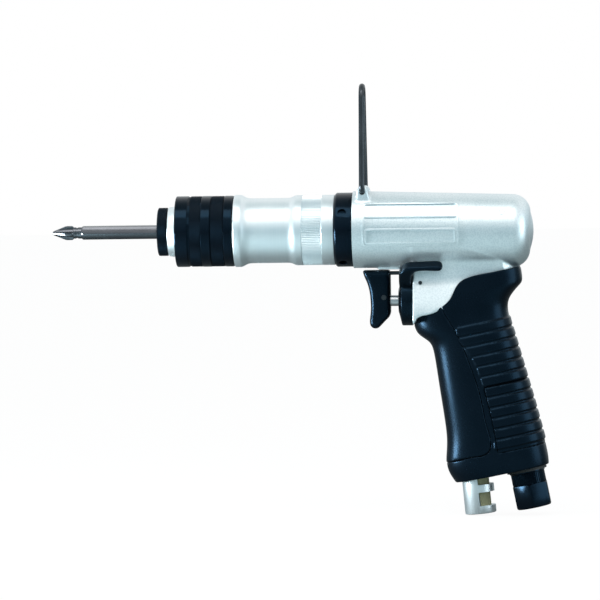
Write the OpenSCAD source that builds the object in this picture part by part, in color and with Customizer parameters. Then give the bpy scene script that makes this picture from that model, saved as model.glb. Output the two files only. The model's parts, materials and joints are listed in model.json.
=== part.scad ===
// Pistol-grip pneumatic screwdriver with a hanging bail and an outside torque sleeve.
// The spindle axis is X, the bit points to -X, +Z is up and Y = 0 is the middle plane.
// The origin is the middle of the bit holder's front face.

/* [Bit] */
// Hexagon of the bit, across flats
hex_af = 6.35; // [6:0.05:7]
// Length of the bit that stands out of the holder
bit_reach = 53.5; // [45:0.5:70]
// Length of the bit inside the holder
bit_depth = 21.5; // [19:0.5:24]
// Length of the cross point with its wings
point_len = 10.75; // [9:0.25:12]
// Width over the wings behind the point
wing_w = 7.1; // [6.5:0.1:7.3]
// Length of the round neck behind the wings
neck_len = 4; // [3:0.25:6]
// Diameter of the round neck
neck_d = 5.7; // [5:0.1:6]
// Turn of the bit and the holder about their axis
bit_roll = 10; // [0:1:30]

/* [Bit holder] */
// Diameter of the release collar
collar_d = 24.2; // [23:0.2:25]
// Thickness of the collar's rim
collar_rim = 4.9; // [4:0.1:5]
// Way the collar slides to free the bit
collar_travel = 3; // [2:0.25:3.5]
// Diameter of the spindle under the collar
spindle_d = 12; // [11.6:0.1:12.4]
// Diameter of the two locking balls
lock_ball_d = 2.8; // [2.6:0.1:3]
// Place of the locking balls behind the front face
lock_ball_x = 12; // [11.5:0.1:12.5]

/* [Nose and torque sleeve] */
// Place of the nose's front edge
nose_x = 5.2; // [5:0.1:5.6]
// Diameter of the nose at its front edge
nose_d = 24.2; // [23:0.2:25]
// Place of the torque sleeve's front edge
sleeve_x = 9.2; // [9:0.1:10]
// Length of the torque sleeve
sleeve_len = 28.9; // [27:0.1:29]
// Diameter of the torque sleeve
sleeve_d = 35.4; // [34.6:0.2:37]
// Advance of the spring seat for one turn of the sleeve
sleeve_pitch = 1.5; // [1:0.25:2]

/* [Clutch case] */
// Place of the case's front rim
case_x = 38.4; // [38.3:0.1:39]
// Diameter of the front rim
rim_d = 36; // [35:0.2:37]
// Diameter of the slim middle
case_waist_d = 32.4; // [31.6:0.2:33]
// Diameter of the gear end
case_gear_d = 35; // [34:0.2:36]
// Place of the case's shoulder against the lock ring
shoulder_x = 88.6; // [88:0.2:90]
// Length of the knurled band
knurl_len = 9.5; // [8:0.5:11]

/* [Clutch] */
// Diameter of the clutch spring's wire
clutch_wire_d = 2; // [1.6:0.1:2.4]
// Mean diameter of the clutch spring
clutch_coil_d = 19.2; // [18.6:0.1:19.6]
// Curls of the clutch spring
clutch_curls = 5; // [4:1:7]
// Way the clutch plate gives when the torque is reached
clutch_travel = 1.5; // [1:0.25:2]
// Diameter of the clutch balls
clutch_ball_d = 3.5; // [3:0.1:4]
// Number of clutch balls
clutch_balls_n = 6; // [3:1:8]

/* [Gears] */
// Module of the gears
gear_module = 0.5; // [0.45:0.01:0.52]
// Teeth of the sun pinion
sun_teeth = 12; // [12:6:12]
// Teeth of each planet
planet_teeth = 18; // [18:6:18]
// Face width of the planets
planet_w = 8; // [6:0.5:8.5]

/* [Lock ring] */
// Diameter of the lock ring
lock_ring_d = 37; // [36:0.2:38]
// Diameter of its spanner holes
spanner_hole_d = 4.2; // [3.5:0.1:5]
// Angle of the first spanner hole above the side
spanner_angle = 28.7; // [0:1:60]

/* [Motor housing] */
// Place of the barrel's front face
barrel_x = 97.8; // [97:0.2:99]
// Place of the barrel's rear end
barrel_end_x = 187.5; // [185:0.5:190]
// Diameter of the barrel at its front
barrel_d = 38.5; // [38:0.1:39.2]
// Diameter of the barrel at its rear
barrel_rear_d = 36.4; // [36:0.1:37]
// Droop of the barrel's outside towards the rear
barrel_droop = 1.05; // [0.8:0.05:1.2]
// Corner radius of the rear end
rear_round = 9; // [7:0.5:11]
// Diameter of the motor's bore
motor_bore_d = 31.1; // [30.8:0.1:31.3]
// Depth of the motor's bore
motor_bore_len = 68.7; // [68:0.1:70]
// Height of the raised lines on the side
emboss_h = 0.4; // [0.2:0.1:0.6]
// Width of the raised lines
emboss_w = 0.8; // [0.6:0.1:1.2]

/* [Air motor] */
// Diameter of the rotor
rotor_d = 21.2; // [20.6:0.1:21.4]
// Length of the rotor
rotor_len = 46; // [44:0.5:46.5]
// Number of vanes
vanes_n = 5; // [4:1:6]
// Thickness of a vane
vane_t = 1.6; // [1.2:0.1:2]
// Shift of the motor cylinder's bore off the axis
cylinder_shift = 1.2; // [0.8:0.1:1.2]

/* [Bail] */
// Diameter of the bail's wire
bail_wire_d = 2.9; // [2.4:0.1:3.2]
// Height of the bail above its pivot
bail_h = 53.8; // [45:0.5:60]
// Distance between the legs at the pivot
bail_w = 28; // [27:0.5:31]
// Mean radius of the round top
bail_top_r = 6.5; // [5:0.5:8]
// Place of the pivot along the barrel
bail_x = 102.9; // [102.2:0.1:106]
// Height of the pivot above the axis
bail_z = 19; // [18.8:0.1:19.4]

/* [Trigger] */
// Height of the trigger
trigger_h = 29.5; // [27:0.5:31]
// Depth of the trigger
trigger_depth = 13.9; // [13:0.1:14]
// Width of the trigger
trigger_w = 13; // [11:0.5:15]
// Way the trigger moves
trigger_travel = 3.5; // [2.5:0.1:3.6]
// Height of the throttle rod below the spindle axis
valve_drop = 35.7; // [35:0.1:36.4]
// Diameter of the throttle rod
rod_d = 5.5; // [5:0.1:6]

/* [Reverse lever] */
// Diameter of the lever's ring
lever_d = 25; // [24:0.2:25.4]
// Thickness of the lever's ring
lever_t = 7.1; // [6.5:0.1:7.2]
// Radius of the outside of the thumb tabs
tab_r = 24.5; // [24:0.1:25]
// Thickness of the thumb tabs
tab_t = 2.5; // [2:0.1:2.6]
// Length of the thumb tabs behind the ring's front
tab_len = 22.8; // [18:0.2:23.2]
// Angle that one thumb tab spans
tab_span = 14; // [12:1:14]
// Swing from one running direction to the other
lever_swing = 24; // [18:1:24]

/* [Handle] */
// Lean of the handle
handle_tilt = 11; // [9:0.5:13]
// Place of the handle's reference point along the barrel
handle_x = 150; // [149:0.5:151]
// Height of the handle's reference point below the axis
handle_drop = 19.5; // [19:0.1:20]
// Length of the handle below its reference point
grip_len = 104.7; // [98:0.5:112]
// Depth of the handle from front to rear
grip_depth = 44; // [43:0.5:45]
// Width of the handle
grip_w = 33; // [32:0.5:35]
// Width of the silver neck between barrel and grip
neck_w = 25; // [24.6:0.2:26]
// Number of ribs on the rear panel
ribs_n = 9; // [5:1:12]

/* [Air inlet] */
// Hexagon of the inlet bush, across flats
inlet_af = 17; // [16.6:0.2:18]
// Length of the inlet bush below the grip
inlet_len = 20; // [17:0.5:24]
// Bore of the inlet thread
inlet_bore_d = 11.44; // [11.2:0.02:11.8]
// Length of the inlet thread
inlet_thread_len = 12; // [9:0.5:13]

/* [Muffler] */
// Diameter of the muffler
muffler_d = 15.6; // [15:0.1:16.4]
// Length of the muffler below the grip
muffler_len = 17.8; // [16:0.2:20]
// Lean of the muffler back from the handle
muffler_lean = 6; // [4:0.5:8]

/* [Hidden] */
$fn = 72;
fine_sides = 32;

// Overrun of every cut past the face that it leaves
over = 1;
// Running clearance of a shaft in its hole, on the radius
run_gap = 0.05;
// Clearance between faces that pass each other
side_gap = 0.3;
// Clearance on the radius where one part only goes round another
loose_gap = 0.5;
// Half of the play between two meshing flanks
mesh_gap = 0.03;
// Thickness of the thin slices that the grip is lofted from
slice_t = 0.02;

silver = "#b9bcc0";
black = "#1c1d20";
dark_steel = "#4c4f55";
bright_steel = "#9a9da3";
bronze = "#a8824a";
rubber_black = "#232323";
felt_olive = "#7d7a55";

// A round body of revolution about X, from [x, r] pairs
module turned(points)
    rotate([0, 90, 0]) mirror([1, 0, 0]) rotate_extrude() polygon([for (p = points) [p[1], p[0]]]);

// A plain cylinder along X from x0 to x1
module rod_x(x0, x1, r)
    translate([x0, 0, 0]) rotate([0, 90, 0]) cylinder(h = x1 - x0, r = r);

// A tube along X
module tube_x(x0, x1, r_out, r_in)
    difference() {
        rod_x(x0, x1, r_out);
        rod_x(x0 - over, x1 + over, r_in);
    }

// A six-sided bar along X, with corners at +Z and -Z
module hex_x(x0, x1, af)
    translate([x0, 0, 0]) rotate([0, 90, 0]) cylinder(h = x1 - x0, r = af / 2 / cos(30), $fn = 6);

// A torus about X at place x
module torus_x(x, r, wire_r)
    translate([x, 0, 0]) rotate([0, 90, 0])
        rotate_extrude() translate([r, 0]) circle(r = wire_r, $fn = fine_sides);

// Points of a helix along Z, and the tube swept round it
coil_steps = 12;
coil_sides = 6;
module coil(mean_r, wire_r, height, curls) {
    rings = curls * coil_steps;
    points = [
        for (i = [0 : rings])
        let (a = 360 * i / coil_steps, z = wire_r + (height - 2 * wire_r) * i / rings)
        for (k = [0 : coil_sides - 1])
        let (b = 360 * k / coil_sides, r = mean_r + wire_r * cos(b))
        [r * cos(a), r * sin(a), z + wire_r * sin(b)]
    ];
    sides = [
        for (i = [0 : rings - 1])
        for (k = [0 : coil_sides - 1])
        let (a = i * coil_sides + k, b = i * coil_sides + (k + 1) % coil_sides)
        each [[a, a + coil_sides, b], [b, a + coil_sides, b + coil_sides]]
    ];
    first_cap = [for (k = [1 : coil_sides - 2]) [0, k, k + 1]];
    last = rings * coil_sides;
    last_cap = [for (k = [1 : coil_sides - 2]) [last, last + k + 1, last + k]];
    polyhedron(points = points, faces = concat(sides, first_cap, last_cap));
}

// A spring along X between two faces
module spring_x(x0, x1, mean_r, wire_r, curls)
    translate([x0, 0, 0]) rotate([0, 90, 0]) coil(mean_r, wire_r, x1 - x0, curls);

// Bit and holder, along the axis
hex_corner_r = hex_af / 2 / cos(30);
spindle_r = spindle_d / 2;
collar_r = collar_d / 2;
lock_ball_r = lock_ball_d / 2;
lock_ball_seat_r = spindle_r - lock_ball_r + run_gap / 2;
holder_front_x = 0.6;
snap_x = 1.2;
snap_t = 0.8;
snap_reach = 1.4;
snap_r = spindle_r + snap_reach;
snap_groove = 0.5;
collar_spring_room = 3;
collar_shelf_x = snap_x + snap_t + collar_spring_room + collar_travel;
collar_cup_r = snap_r + side_gap;
collar_free_x = lock_ball_x + lock_ball_r;
collar_end_x = 16;
collar_skirt_r = 8.4;
journal_step = 0.5;
journal_r = spindle_r + journal_step;
journal_x = collar_end_x + side_gap;
bush_inset = 11.6;
bush_x = nose_x + bush_inset;
bush_len = 12.2;
bush_r = 9.5;
thrust_x = bush_x + bush_len + side_gap;
thrust_t = 2;
thrust_r = 7.6;
shaft_r = 6.4;
hex_drive_af = 12.4;
pilot_r = 4;
pilot_len = 8;

// Nose and torque sleeve
nose_cone = 0.65;
nose_neck_r = nose_d / 2 + nose_cone;
nose_bore_r = collar_skirt_r + loose_gap;
sleeve_r = sleeve_d / 2;
sleeve_wall = 3.3;
neck_outer_r = sleeve_r - sleeve_wall;
flange_step = 0.8;
flange_r = neck_outer_r + flange_step;
flange_inset = 2;
flange_x = sleeve_x + flange_inset;
flange_t = 2.8;
neck_wall = 2.2;
case_bore_r = neck_outer_r - neck_wall;
spigot_r = case_bore_r - run_gap;
sleeve_end_x = sleeve_x + sleeve_len;
sleeve_mouth_r = flange_r + loose_gap;
sleeve_step_x = flange_x + flange_t + side_gap;
sleeve_bore_r = neck_outer_r + run_gap;
thread_inset = 14.8;
thread_x = sleeve_x + thread_inset;
thread_depth = 1.3;
thread_r = neck_outer_r + thread_depth;
sleeve_edge = 0.5;
groove_depth = 0.5;
groove_w = 1;
groove_share = [0.23, 0.45, 0.61, 0.84];

// Spring seat with its keys in the neck's slots
seat_x = 32.2;
seat_t = 4;
seat_bore_r = 8;
key_w = 4;
key_t = 2.4;
sleeve_turns = 1.5;
seat_travel = sleeve_turns * sleeve_pitch;
slot_len = key_t + 2 * seat_travel + 4 * run_gap;
slot_x = seat_x + seat_t / 2 - slot_len / 2;

// Clutch case
rim_r = rim_d / 2;
rim_t = 2.3;
waist_r = case_waist_d / 2;
rim_cone_len = 3;
waist_x = case_x + rim_t + rim_cone_len;
gear_end_r = case_gear_d / 2;
gear_step_x = 66;
gear_step_len = 3;
knurl_inset = 3.7;
knurl_x = gear_step_x + gear_step_len + knurl_inset;
knurl_depth = 0.3;
spigot_reach = 6.2;
spigot_end_x = barrel_x + spigot_reach;
case_thread_r = motor_bore_d / 2 - run_gap;
ring_r = 14.2;
gear_bore_x = 64.4;

// Clutch
plate_x = 54;
plate_t = 4.4;
hex_spare = 2.5;
hex_drive_x = plate_x - clutch_travel - hex_spare;
plate_r = 11.8;
cam_x = 60.6;
cam_t = 3.4;
cam_r = 11.5;
clutch_ball_r = clutch_ball_d / 2;
clutch_ball_x = (plate_x + plate_t + cam_x) / 2;
clutch_ball_ring_r = 9.2;
pocket_gap = 0.05;

// Gears: the teeth stand in mesh at rest with three planets at 90, 210 and 330 degrees
planets_n = 3;
ring_teeth = sun_teeth + 2 * planet_teeth;
planet_centre_r = gear_module * (sun_teeth + planet_teeth) / 2;
pressure = 20;
flank_steps = 4;
addendum_share = 0.95;
dedendum_share = 1.25;
planet_x = 73.2;
planet_bore_r = 1.5;
pin_r = planet_bore_r - run_gap;
carrier_front_x = 70;
carrier_plate_t = 2.8;
carrier_web_x = carrier_front_x + carrier_plate_t;
carrier_front_r = 13.4;
carrier_hub_r = 7;
carrier_rear_x = planet_x + planet_w + side_gap;
carrier_rear_t = 2.2;
carrier_rear_r = 10.8;
web_w = 3.2;
bearing_r = ring_r;
bearing_x = gear_bore_x;
bearing_t = 5.2;
sun_shaft_r = 3.4;
sun_clear_r = 3.9;

// Lock ring
lock_ring_r = lock_ring_d / 2;
lock_ring_edge = 1.2;
spanner_n = 4;
spanner_depth = 2;
spanner_inset = 4.3;
spanner_x = shoulder_x + spanner_inset;

// Barrel
barrel_r = barrel_d / 2;
barrel_rear_r = barrel_rear_d / 2;
barrel_len = barrel_end_x - barrel_x;
motor_bore_r = motor_bore_d / 2;
rear_cavity_r = 10;
rear_cavity_len = 9;
rear_dome = 1.6;

// Air motor
motor_fit_r = motor_bore_r - run_gap;
rotor_r = rotor_d / 2;
end_plate_t = 6;
front_plate_x = spigot_end_x + side_gap;
cylinder_x = front_plate_x + end_plate_t;
cylinder_len = rotor_len + 2 * loose_gap;
rear_plate_x = cylinder_x + cylinder_len;
rotor_gap = 0.2;
cylinder_bore_r = rotor_r + cylinder_shift + rotor_gap;
vane_tip_r = rotor_r + rotor_gap / 2;
vane_depth = 6;
rotor_x = cylinder_x + loose_gap;
motor_shaft_r = 4;
motor_bearing_r = 8;
motor_bearing_t = 4.5;
port_r = 1.6;
ports_n = 5;
port_angle = 50;

// Bail and its ears
wire_r = bail_wire_d / 2;
ear_r = 3.9;
ear_face = 11;
ear_t = 5;
bail_hole_r = wire_r + run_gap;
bail_bend_r = 3;
bail_half = bail_w / 2;
bail_stub = 4;

// Trigger, rod and throttle valve
valve_z = -valve_drop;
trigger_x = 102;
trigger_drop = 1.05;
trigger_top_z = -barrel_r - trigger_drop;
trigger_side_shares = [
    [0, 0], [0.075, 0.115], [0.155, 0.2], [0.24, 0.34], [0.28, 0.5], [0.285, 0.68], [0.245, 0.86],
    [0.25, 0.91], [0.31, 0.965], [0.42, 0.99], [0.53, 0.985], [0.64, 0.94], [0.8, 0.86],
    [0.93, 0.8], [1, 0.74], [1, 0]
];
trigger_pin_r = 1.25;
trigger_pin_inset = 3.2;
trigger_pin_x = trigger_x + trigger_depth - trigger_pin_inset;
trigger_pin_rise = 1.8;
trigger_pin_z = valve_z + trigger_pin_rise;
rod_r = rod_d / 2;
rod_inset = 5.6;
rod_front_x = trigger_x + rod_inset;
rod_thin_r = 1.6;
rod_thin_x = 130;
guide_pin_r = 0.95;
guide_pin_drop = 1.6;
guide_pin_z = trigger_top_z - guide_pin_drop;
guide_pin_inset = 7.5;
guide_pin_x = trigger_x + guide_pin_inset;
guide_pin_end_x = 134;
valve_seat_x = 151;
valve_seat_t = 2;
valve_seat_bore_r = 3.2;
valve_head_r = 4.8;
valve_head_t = 3.4;
valve_bush_x = 129.6;
valve_bush_end_x = 165;
valve_bush_r = 9;
valve_bush_wall = 1.7;
valve_end_t = 1.5;
throttle_wire_r = 0.5;
throttle_coil_r = 3.6;
throttle_curls = 3;
motor_ports_x = [140, 158];
exhaust_port_x = 146.5;
inlet_port_x = 161.5;
seal_x = 132;
seal_wire_r = 0.8;

// Reverse lever, held in the direction that the photograph shows
lever_r = lever_d / 2;
lever_x = trigger_x + trigger_depth + trigger_travel + loose_gap;
lever_rest = lever_swing / 2;
tab_rise = 41;
tab_centre = tab_rise + lever_rest;
tab_inner_r = tab_r - tab_t;
lever_cone = 1.8;
lever_hub_r = valve_bush_r - valve_bush_wall - run_gap;
lever_hub_end_x = 149.5;
sweep_gap = 0.45;
sweep_side = 2.6;
lever_bore_r = rod_r + run_gap;

// Handle core and grip
boss_r = 12.2;
boss_x = lever_x + lever_t + side_gap;
neck_face_step = 2;
neck_face_x = boss_x + neck_face_step;
core_w_share = 0.75;
core_front_share = -0.405;
core_rear_share = 0.395;
core_r = grip_w * core_w_share / 2;
core_front = grip_depth * core_front_share + core_r;
core_rear = grip_depth * core_rear_share - core_r;
core_top = 3;
core_recess = 1.2;
core_end = grip_len - core_recess;
neck_rear_share = 0.65;
passage_top_share = 0.2;
grip_fit = 0.1;
sections_round = 2.8;
section_sides = 28;
// Each row is a section: depth down the handle as a share of grip_len,
// front and rear edge as shares of grip_depth, width as a share of grip_w
grip_section_shares = [
    [0.015, -0.57, 0.683, 0.93], [0.076, -0.586, 0.673, 0.93], [0.124, -0.6, 0.65, 0.93],
    [0.158, -0.61, 0.585, 0.935], [0.191, -0.62, 0.482, 0.94], [0.229, -0.622, 0.45, 0.95],
    [0.263, -0.609, 0.448, 0.96], [0.287, -0.564, 0.448, 0.965], [0.315, -0.491, 0.45, 0.97],
    [0.344, -0.459, 0.461, 0.97], [0.439, -0.468, 0.48, 0.98], [0.573, -0.486, 0.507, 0.99],
    [0.707, -0.498, 0.534, 1], [0.802, -0.518, 0.548, 1], [0.879, -0.577, 0.559, 1],
    [0.926, -0.589, 0.561, 1], [0.965, -0.564, 0.561, 0.985], [1, -0.525, 0.55, 0.955]
];
// Upper edge of the grip, as shares of grip_depth and grip_len
grip_edge_shares = [
    [0.8, 0.05], [0.09, 0.052], [0.007, 0.062], [-0.052, 0.08], [-0.098, 0.104], [-0.141, 0.128],
    [-0.2, 0.149], [-0.273, 0.163], [-0.407, 0.173], [-0.56, 0.18], [-0.6, 0.2], [-0.8, 0.215]
];
// Line between the front pad and the rear cover
pad_edge_shares = [
    [-0.27, 0.1], [-0.27, 0.158], [-0.152, 0.316], [-0.082, 0.473], [-0.05, 0.579],
    [-0.043, 0.73], [-0.048, 0.862], [-0.09, 0.885], [-0.307, 0.891], [-0.8, 0.9]
];
// Corners of the rear panel
panel_shares = [[0.03, 0.6], [0.064, 0.713], [0.075, 0.838], [0.011, 0.898], [0.8, 0.912], [0.8, 0.57]];
panel_depth = 1.4;
panel_rib_h = 0.5;
panel_rib_w = 1.2;
rib_front_share = 0.12;
rib_span_shares = [0.64, 0.88];

// Air inlet and muffler, in the handle's frame
inlet_at_share = 0.29;
inlet_at = grip_depth * inlet_at_share;
inlet_boss_r = 9;
inlet_boss_len = 18;
inlet_spigot_r = 7.6;
inlet_spigot_len = 12;
inlet_flange_r = 8.9;
inlet_flange_t = 2.3;
inlet_collar_r = 8.5;
inlet_collar_len = 6;
inlet_edge = 1;
gasket_r = 10;
gasket_t = 1.5;
passage_r = 3.4;
strainer_r = 4.3;
strainer_wall = 0.6;
strainer_len = 15;
strainer_lip_r = 5;
inlet_passage_r = strainer_lip_r;
muffler_at_share = -0.277;
muffler_at = grip_depth * muffler_at_share;
muffler_r = muffler_d / 2;
muffler_wall = 1.4;
muffler_spigot = 6;
muffler_boss_r = 9;
exhaust_r = 4.4;
slot_share = [[0, 0.19], [0.4, 0.78]];
felt_wall = 1.8;

// Turns the axis of what it holds onto the handle's frame, whose Z is up the handle
module in_handle()
    translate([handle_x, 0, -handle_drop]) rotate([0, -handle_tilt, 0]) children();

// A region of the side view in the handle's frame, through the whole width
module side_region(points)
    in_handle() rotate([90, 0, 0])
        linear_extrude(height = 2 * grip_w, center = true)
            polygon([for (p = points) [p[0] * grip_depth, -p[1] * grip_len]]);

// Involute gear outline: the teeth are thinned by shrink on each flank
function involute_angle(base_r, r) =
    let (t = sqrt(max(0, r * r / base_r / base_r - 1)))
    t * 180 / PI - atan(t);
module gear_2d(teeth, shrink, tip_share, root_share) {
    pitch_r = gear_module * teeth / 2;
    base_r = pitch_r * cos(pressure);
    tip_r = pitch_r + gear_module * tip_share;
    root_r = pitch_r - gear_module * root_share;
    start_r = max(base_r, root_r);
    half_tooth = 90 / teeth - shrink / pitch_r * 180 / PI + involute_angle(base_r, pitch_r);
    flank = [
        for (i = [0 : flank_steps])
        let (r = start_r + (tip_r - start_r) * i / flank_steps)
        [r, half_tooth - involute_angle(base_r, r)]
    ];
    tooth = concat(
        [[root_r, -half_tooth]],
        [for (f = flank) [f[0], -f[1]]],
        [for (i = [flank_steps : -1 : 0]) flank[i]],
        [[root_r, half_tooth]]
    );
    polygon([
        for (n = [0 : teeth - 1])
        for (p = tooth)
        let (a = p[1] + 360 * n / teeth)
        [p[0] * cos(a), p[0] * sin(a)]
    ]);
}

// A gear along X from x0, turned by angle about X from +Z towards -Y
module gear_x(x0, width, teeth, angle)
    translate([x0, 0, 0]) rotate([0, 90, 0]) rotate([0, 0, angle])
        linear_extrude(height = width)
            gear_2d(teeth, mesh_gap, addendum_share, dedendum_share);

// Places what it holds at each planet: the angle counts about X
function planet_angle(i) = 90 + 360 * i / planets_n;
module at_planet(i)
    rotate([planet_angle(i), 0, 0]) translate([0, 0, planet_centre_r]) children();

// The bit: hexagon shank, groove for the balls, neck, wings and a cross point
module bit() {
    tip_x = -bit_reach;
    wings_x = tip_x + point_len;
    shank_x = wings_x + neck_len;
    cone_len = 7;
    tip_r = 0.9;
    chamfer = 1;
    blade_t = 1.5;
    core_tip_r = 0.7;
    core_end_r = 2.2;
    color(dark_steel) rotate([bit_roll, 0, 0]) {
        difference() {
            intersection() {
                hex_x(shank_x, bit_depth, hex_af);
                turned([
                    [shank_x, 0], [shank_x, neck_d / 2], [shank_x + chamfer, hex_corner_r + run_gap],
                    [bit_depth - chamfer, hex_corner_r + run_gap], [bit_depth, neck_d / 2], [bit_depth, 0]
                ]);
            }
            torus_x(lock_ball_x, lock_ball_seat_r, lock_ball_r + pocket_gap);
        }
        rod_x(wings_x - slice_t, shank_x + slice_t, neck_d / 2);
        intersection() {
            turned([
                [tip_x, 0], [tip_x, tip_r], [tip_x + cone_len, wing_w / 2],
                [wings_x - chamfer, wing_w / 2], [wings_x, neck_d / 2], [wings_x, 0]
            ]);
            union() {
                for (a = [45, 135])
                    rotate([a, 0, 0])
                        translate([tip_x, -blade_t / 2, -wing_w]) cube([point_len, blade_t, 2 * wing_w]);
                turned([
                    [tip_x, 0], [tip_x, core_tip_r], [tip_x + cone_len, core_end_r],
                    [wings_x, neck_d / 2], [wings_x, 0]
                ]);
            }
        }
    }
}

// Spindle with the hexagon socket, its journal, thrust collar and clutch hexagon
module bit_holder()
    color(bright_steel) rotate([bit_roll, 0, 0])
        difference() {
            union() {
                turned([
                    [holder_front_x, 0], [holder_front_x, spindle_r], [snap_x, spindle_r],
                    [snap_x, spindle_r - snap_groove], [snap_x + snap_t, spindle_r - snap_groove],
                    [snap_x + snap_t, spindle_r], [journal_x, spindle_r], [journal_x, journal_r],
                    [thrust_x, journal_r], [thrust_x, thrust_r], [thrust_x + thrust_t, thrust_r],
                    [thrust_x + thrust_t, shaft_r], [hex_drive_x, shaft_r], [hex_drive_x, pilot_r],
                    [cam_x + pilot_len, pilot_r], [cam_x + pilot_len, 0]
                ]);
                hex_x(hex_drive_x, cam_x - side_gap, hex_drive_af);
            }
            hex_x(holder_front_x - over, bit_depth + side_gap, hex_af + 2 * run_gap);
            for (side = [0, 180])
                rotate([side, 0, 0])
                    translate([lock_ball_x, 0, 0]) cylinder(h = spindle_d, r = lock_ball_r + run_gap);
        }

// Two balls that lock the bit
module lock_balls()
    color(bright_steel)
        for (side = [0, 180])
            rotate([bit_roll + side, 0, 0])
                translate([lock_ball_x, 0, lock_ball_seat_r]) sphere(r = lock_ball_r, $fn = fine_sides);

module snap_ring()
    color(bright_steel)
        tube_x(snap_x + run_gap, snap_x + snap_t - run_gap, snap_r, spindle_r - snap_groove + run_gap);

module collar_spring() {
    collar_wire_r = 0.4;
    color(bright_steel)
        spring_x(
            snap_x + snap_t + run_gap, collar_shelf_x - run_gap,
            (spindle_r + collar_cup_r) / 2, collar_wire_r, 3
        );
}

// Knurled collar: slides forward on the spindle to free the balls
module release_collar() {
    edge = 0.6;
    color(black)
        turned([
            [0, collar_cup_r], [0, collar_r - edge], [edge, collar_r], [collar_rim - edge, collar_r],
            [collar_rim, collar_r - edge], [collar_rim, collar_skirt_r], [collar_end_x, collar_skirt_r],
            [collar_end_x, spindle_r + lock_ball_r], [collar_free_x, spindle_r + lock_ball_r],
            [collar_free_x, spindle_r + run_gap], [collar_shelf_x, spindle_r + run_gap],
            [collar_shelf_x, collar_cup_r]
        ]);
}

// Silver nose: cone in front, flange that keeps the sleeve, spigot in the clutch case
module nose()
    color(silver)
        turned([
            [nose_x, nose_bore_r], [nose_x, nose_d / 2], [sleeve_x, nose_neck_r],
            [flange_x, flange_r], [flange_x + flange_t, flange_r], [flange_x + flange_t, spigot_r],
            [bush_x + bush_len, spigot_r], [bush_x + bush_len, bush_r], [bush_x, bush_r],
            [bush_x, nose_bore_r]
        ]);

module spindle_bush()
    color(bronze) tube_x(bush_x, bush_x + bush_len, bush_r, journal_r + run_gap);

// Black sleeve that sets the torque: it turns between the nose flange and the case rim
module torque_sleeve()
    color(black)
        difference() {
            turned([
                [sleeve_x, sleeve_mouth_r], [sleeve_x, sleeve_r - sleeve_edge],
                [sleeve_x + sleeve_edge, sleeve_r], [sleeve_end_x - sleeve_edge, sleeve_r],
                [sleeve_end_x, sleeve_r - sleeve_edge], [sleeve_end_x, thread_r], [thread_x, thread_r],
                [thread_x, sleeve_bore_r], [sleeve_step_x, sleeve_bore_r], [sleeve_step_x, sleeve_mouth_r]
            ]);
            for (share = groove_share)
                tube_x(
                    sleeve_x + sleeve_len * share - groove_w / 2,
                    sleeve_x + sleeve_len * share + groove_w / 2,
                    sleeve_r + over, sleeve_r - groove_depth
                );
        }

// Ring that loads the clutch spring: its keys stand through the neck's slots into the sleeve's thread
module spring_seat()
    color(bright_steel)
        difference() {
            union() {
                rod_x(seat_x, seat_x + seat_t, case_bore_r - run_gap);
                intersection() {
                    translate([seat_x + (seat_t - key_t) / 2, -sleeve_d, -key_w / 2])
                        cube([key_t, 2 * sleeve_d, key_w]);
                    rod_x(seat_x, seat_x + seat_t, thread_r - run_gap);
                }
            }
            rod_x(seat_x - over, seat_x + seat_t + over, seat_bore_r);
        }

module clutch_spring()
    color(bright_steel)
        spring_x(
            seat_x + seat_t + run_gap, plate_x - run_gap,
            clutch_coil_d / 2, clutch_wire_d / 2, clutch_curls
        );

module clutch_ball_places()
    for (i = [0 : clutch_balls_n - 1])
        rotate([360 * i / clutch_balls_n, 0, 0])
            translate([clutch_ball_x, 0, clutch_ball_ring_r]) children();

module clutch_balls()
    color(bright_steel) clutch_ball_places() sphere(r = clutch_ball_r, $fn = fine_sides);

// Plate that slides on the spindle's hexagon and gives way at the set torque
module clutch_plate()
    color(bright_steel)
        difference() {
            rod_x(plate_x, plate_x + plate_t, plate_r);
            rotate([bit_roll, 0, 0])
                hex_x(plate_x - over, plate_x + plate_t + over, hex_drive_af + 2 * run_gap);
            clutch_ball_places() sphere(r = clutch_ball_r + pocket_gap, $fn = fine_sides);
        }

// Carrier: cam disc for the clutch balls, hub in its bearing and a cage for the planets
module planet_carrier()
    color(bright_steel)
        difference() {
            union() {
                turned([
                    [cam_x, 0], [cam_x, cam_r], [cam_x + cam_t, cam_r], [cam_x + cam_t, carrier_hub_r],
                    [carrier_front_x, carrier_hub_r], [carrier_front_x, carrier_front_r],
                    [carrier_web_x, carrier_front_r], [carrier_web_x, 0]
                ]);
                rod_x(carrier_rear_x, carrier_rear_x + carrier_rear_t, carrier_rear_r);
                for (i = [0 : planets_n - 1])
                    rotate([planet_angle(i) + 180 / planets_n, 0, 0])
                        translate([carrier_web_x, -web_w / 2, planet_centre_r - web_w / 2])
                            cube([carrier_rear_x - carrier_web_x, web_w, web_w]);
            }
            rod_x(cam_x - over, cam_x + pilot_len + side_gap, pilot_r + run_gap);
            rod_x(planet_x - side_gap, carrier_rear_x + carrier_rear_t + over, sun_clear_r);
            for (i = [0 : planets_n - 1])
                at_planet(i)
                    rod_x(carrier_front_x, carrier_rear_x + carrier_rear_t + over, pin_r);
            clutch_ball_places() sphere(r = clutch_ball_r + pocket_gap, $fn = fine_sides);
        }

module planet_pins()
    color(bright_steel)
        for (i = [0 : planets_n - 1])
            at_planet(i) rod_x(carrier_front_x, carrier_rear_x + carrier_rear_t, pin_r);

// One planet gear: a gap faces the sun's tooth and a gap faces the ring's tooth
module planet(i)
    color(bright_steel)
        at_planet(i)
            difference() {
                gear_x(planet_x, planet_w, planet_teeth, 180 / planet_teeth);
                rod_x(planet_x - over, planet_x + planet_w + over, planet_bore_r);
            }
module planet_1() planet(0);
module planet_2() planet(1);
module planet_3() planet(2);

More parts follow.
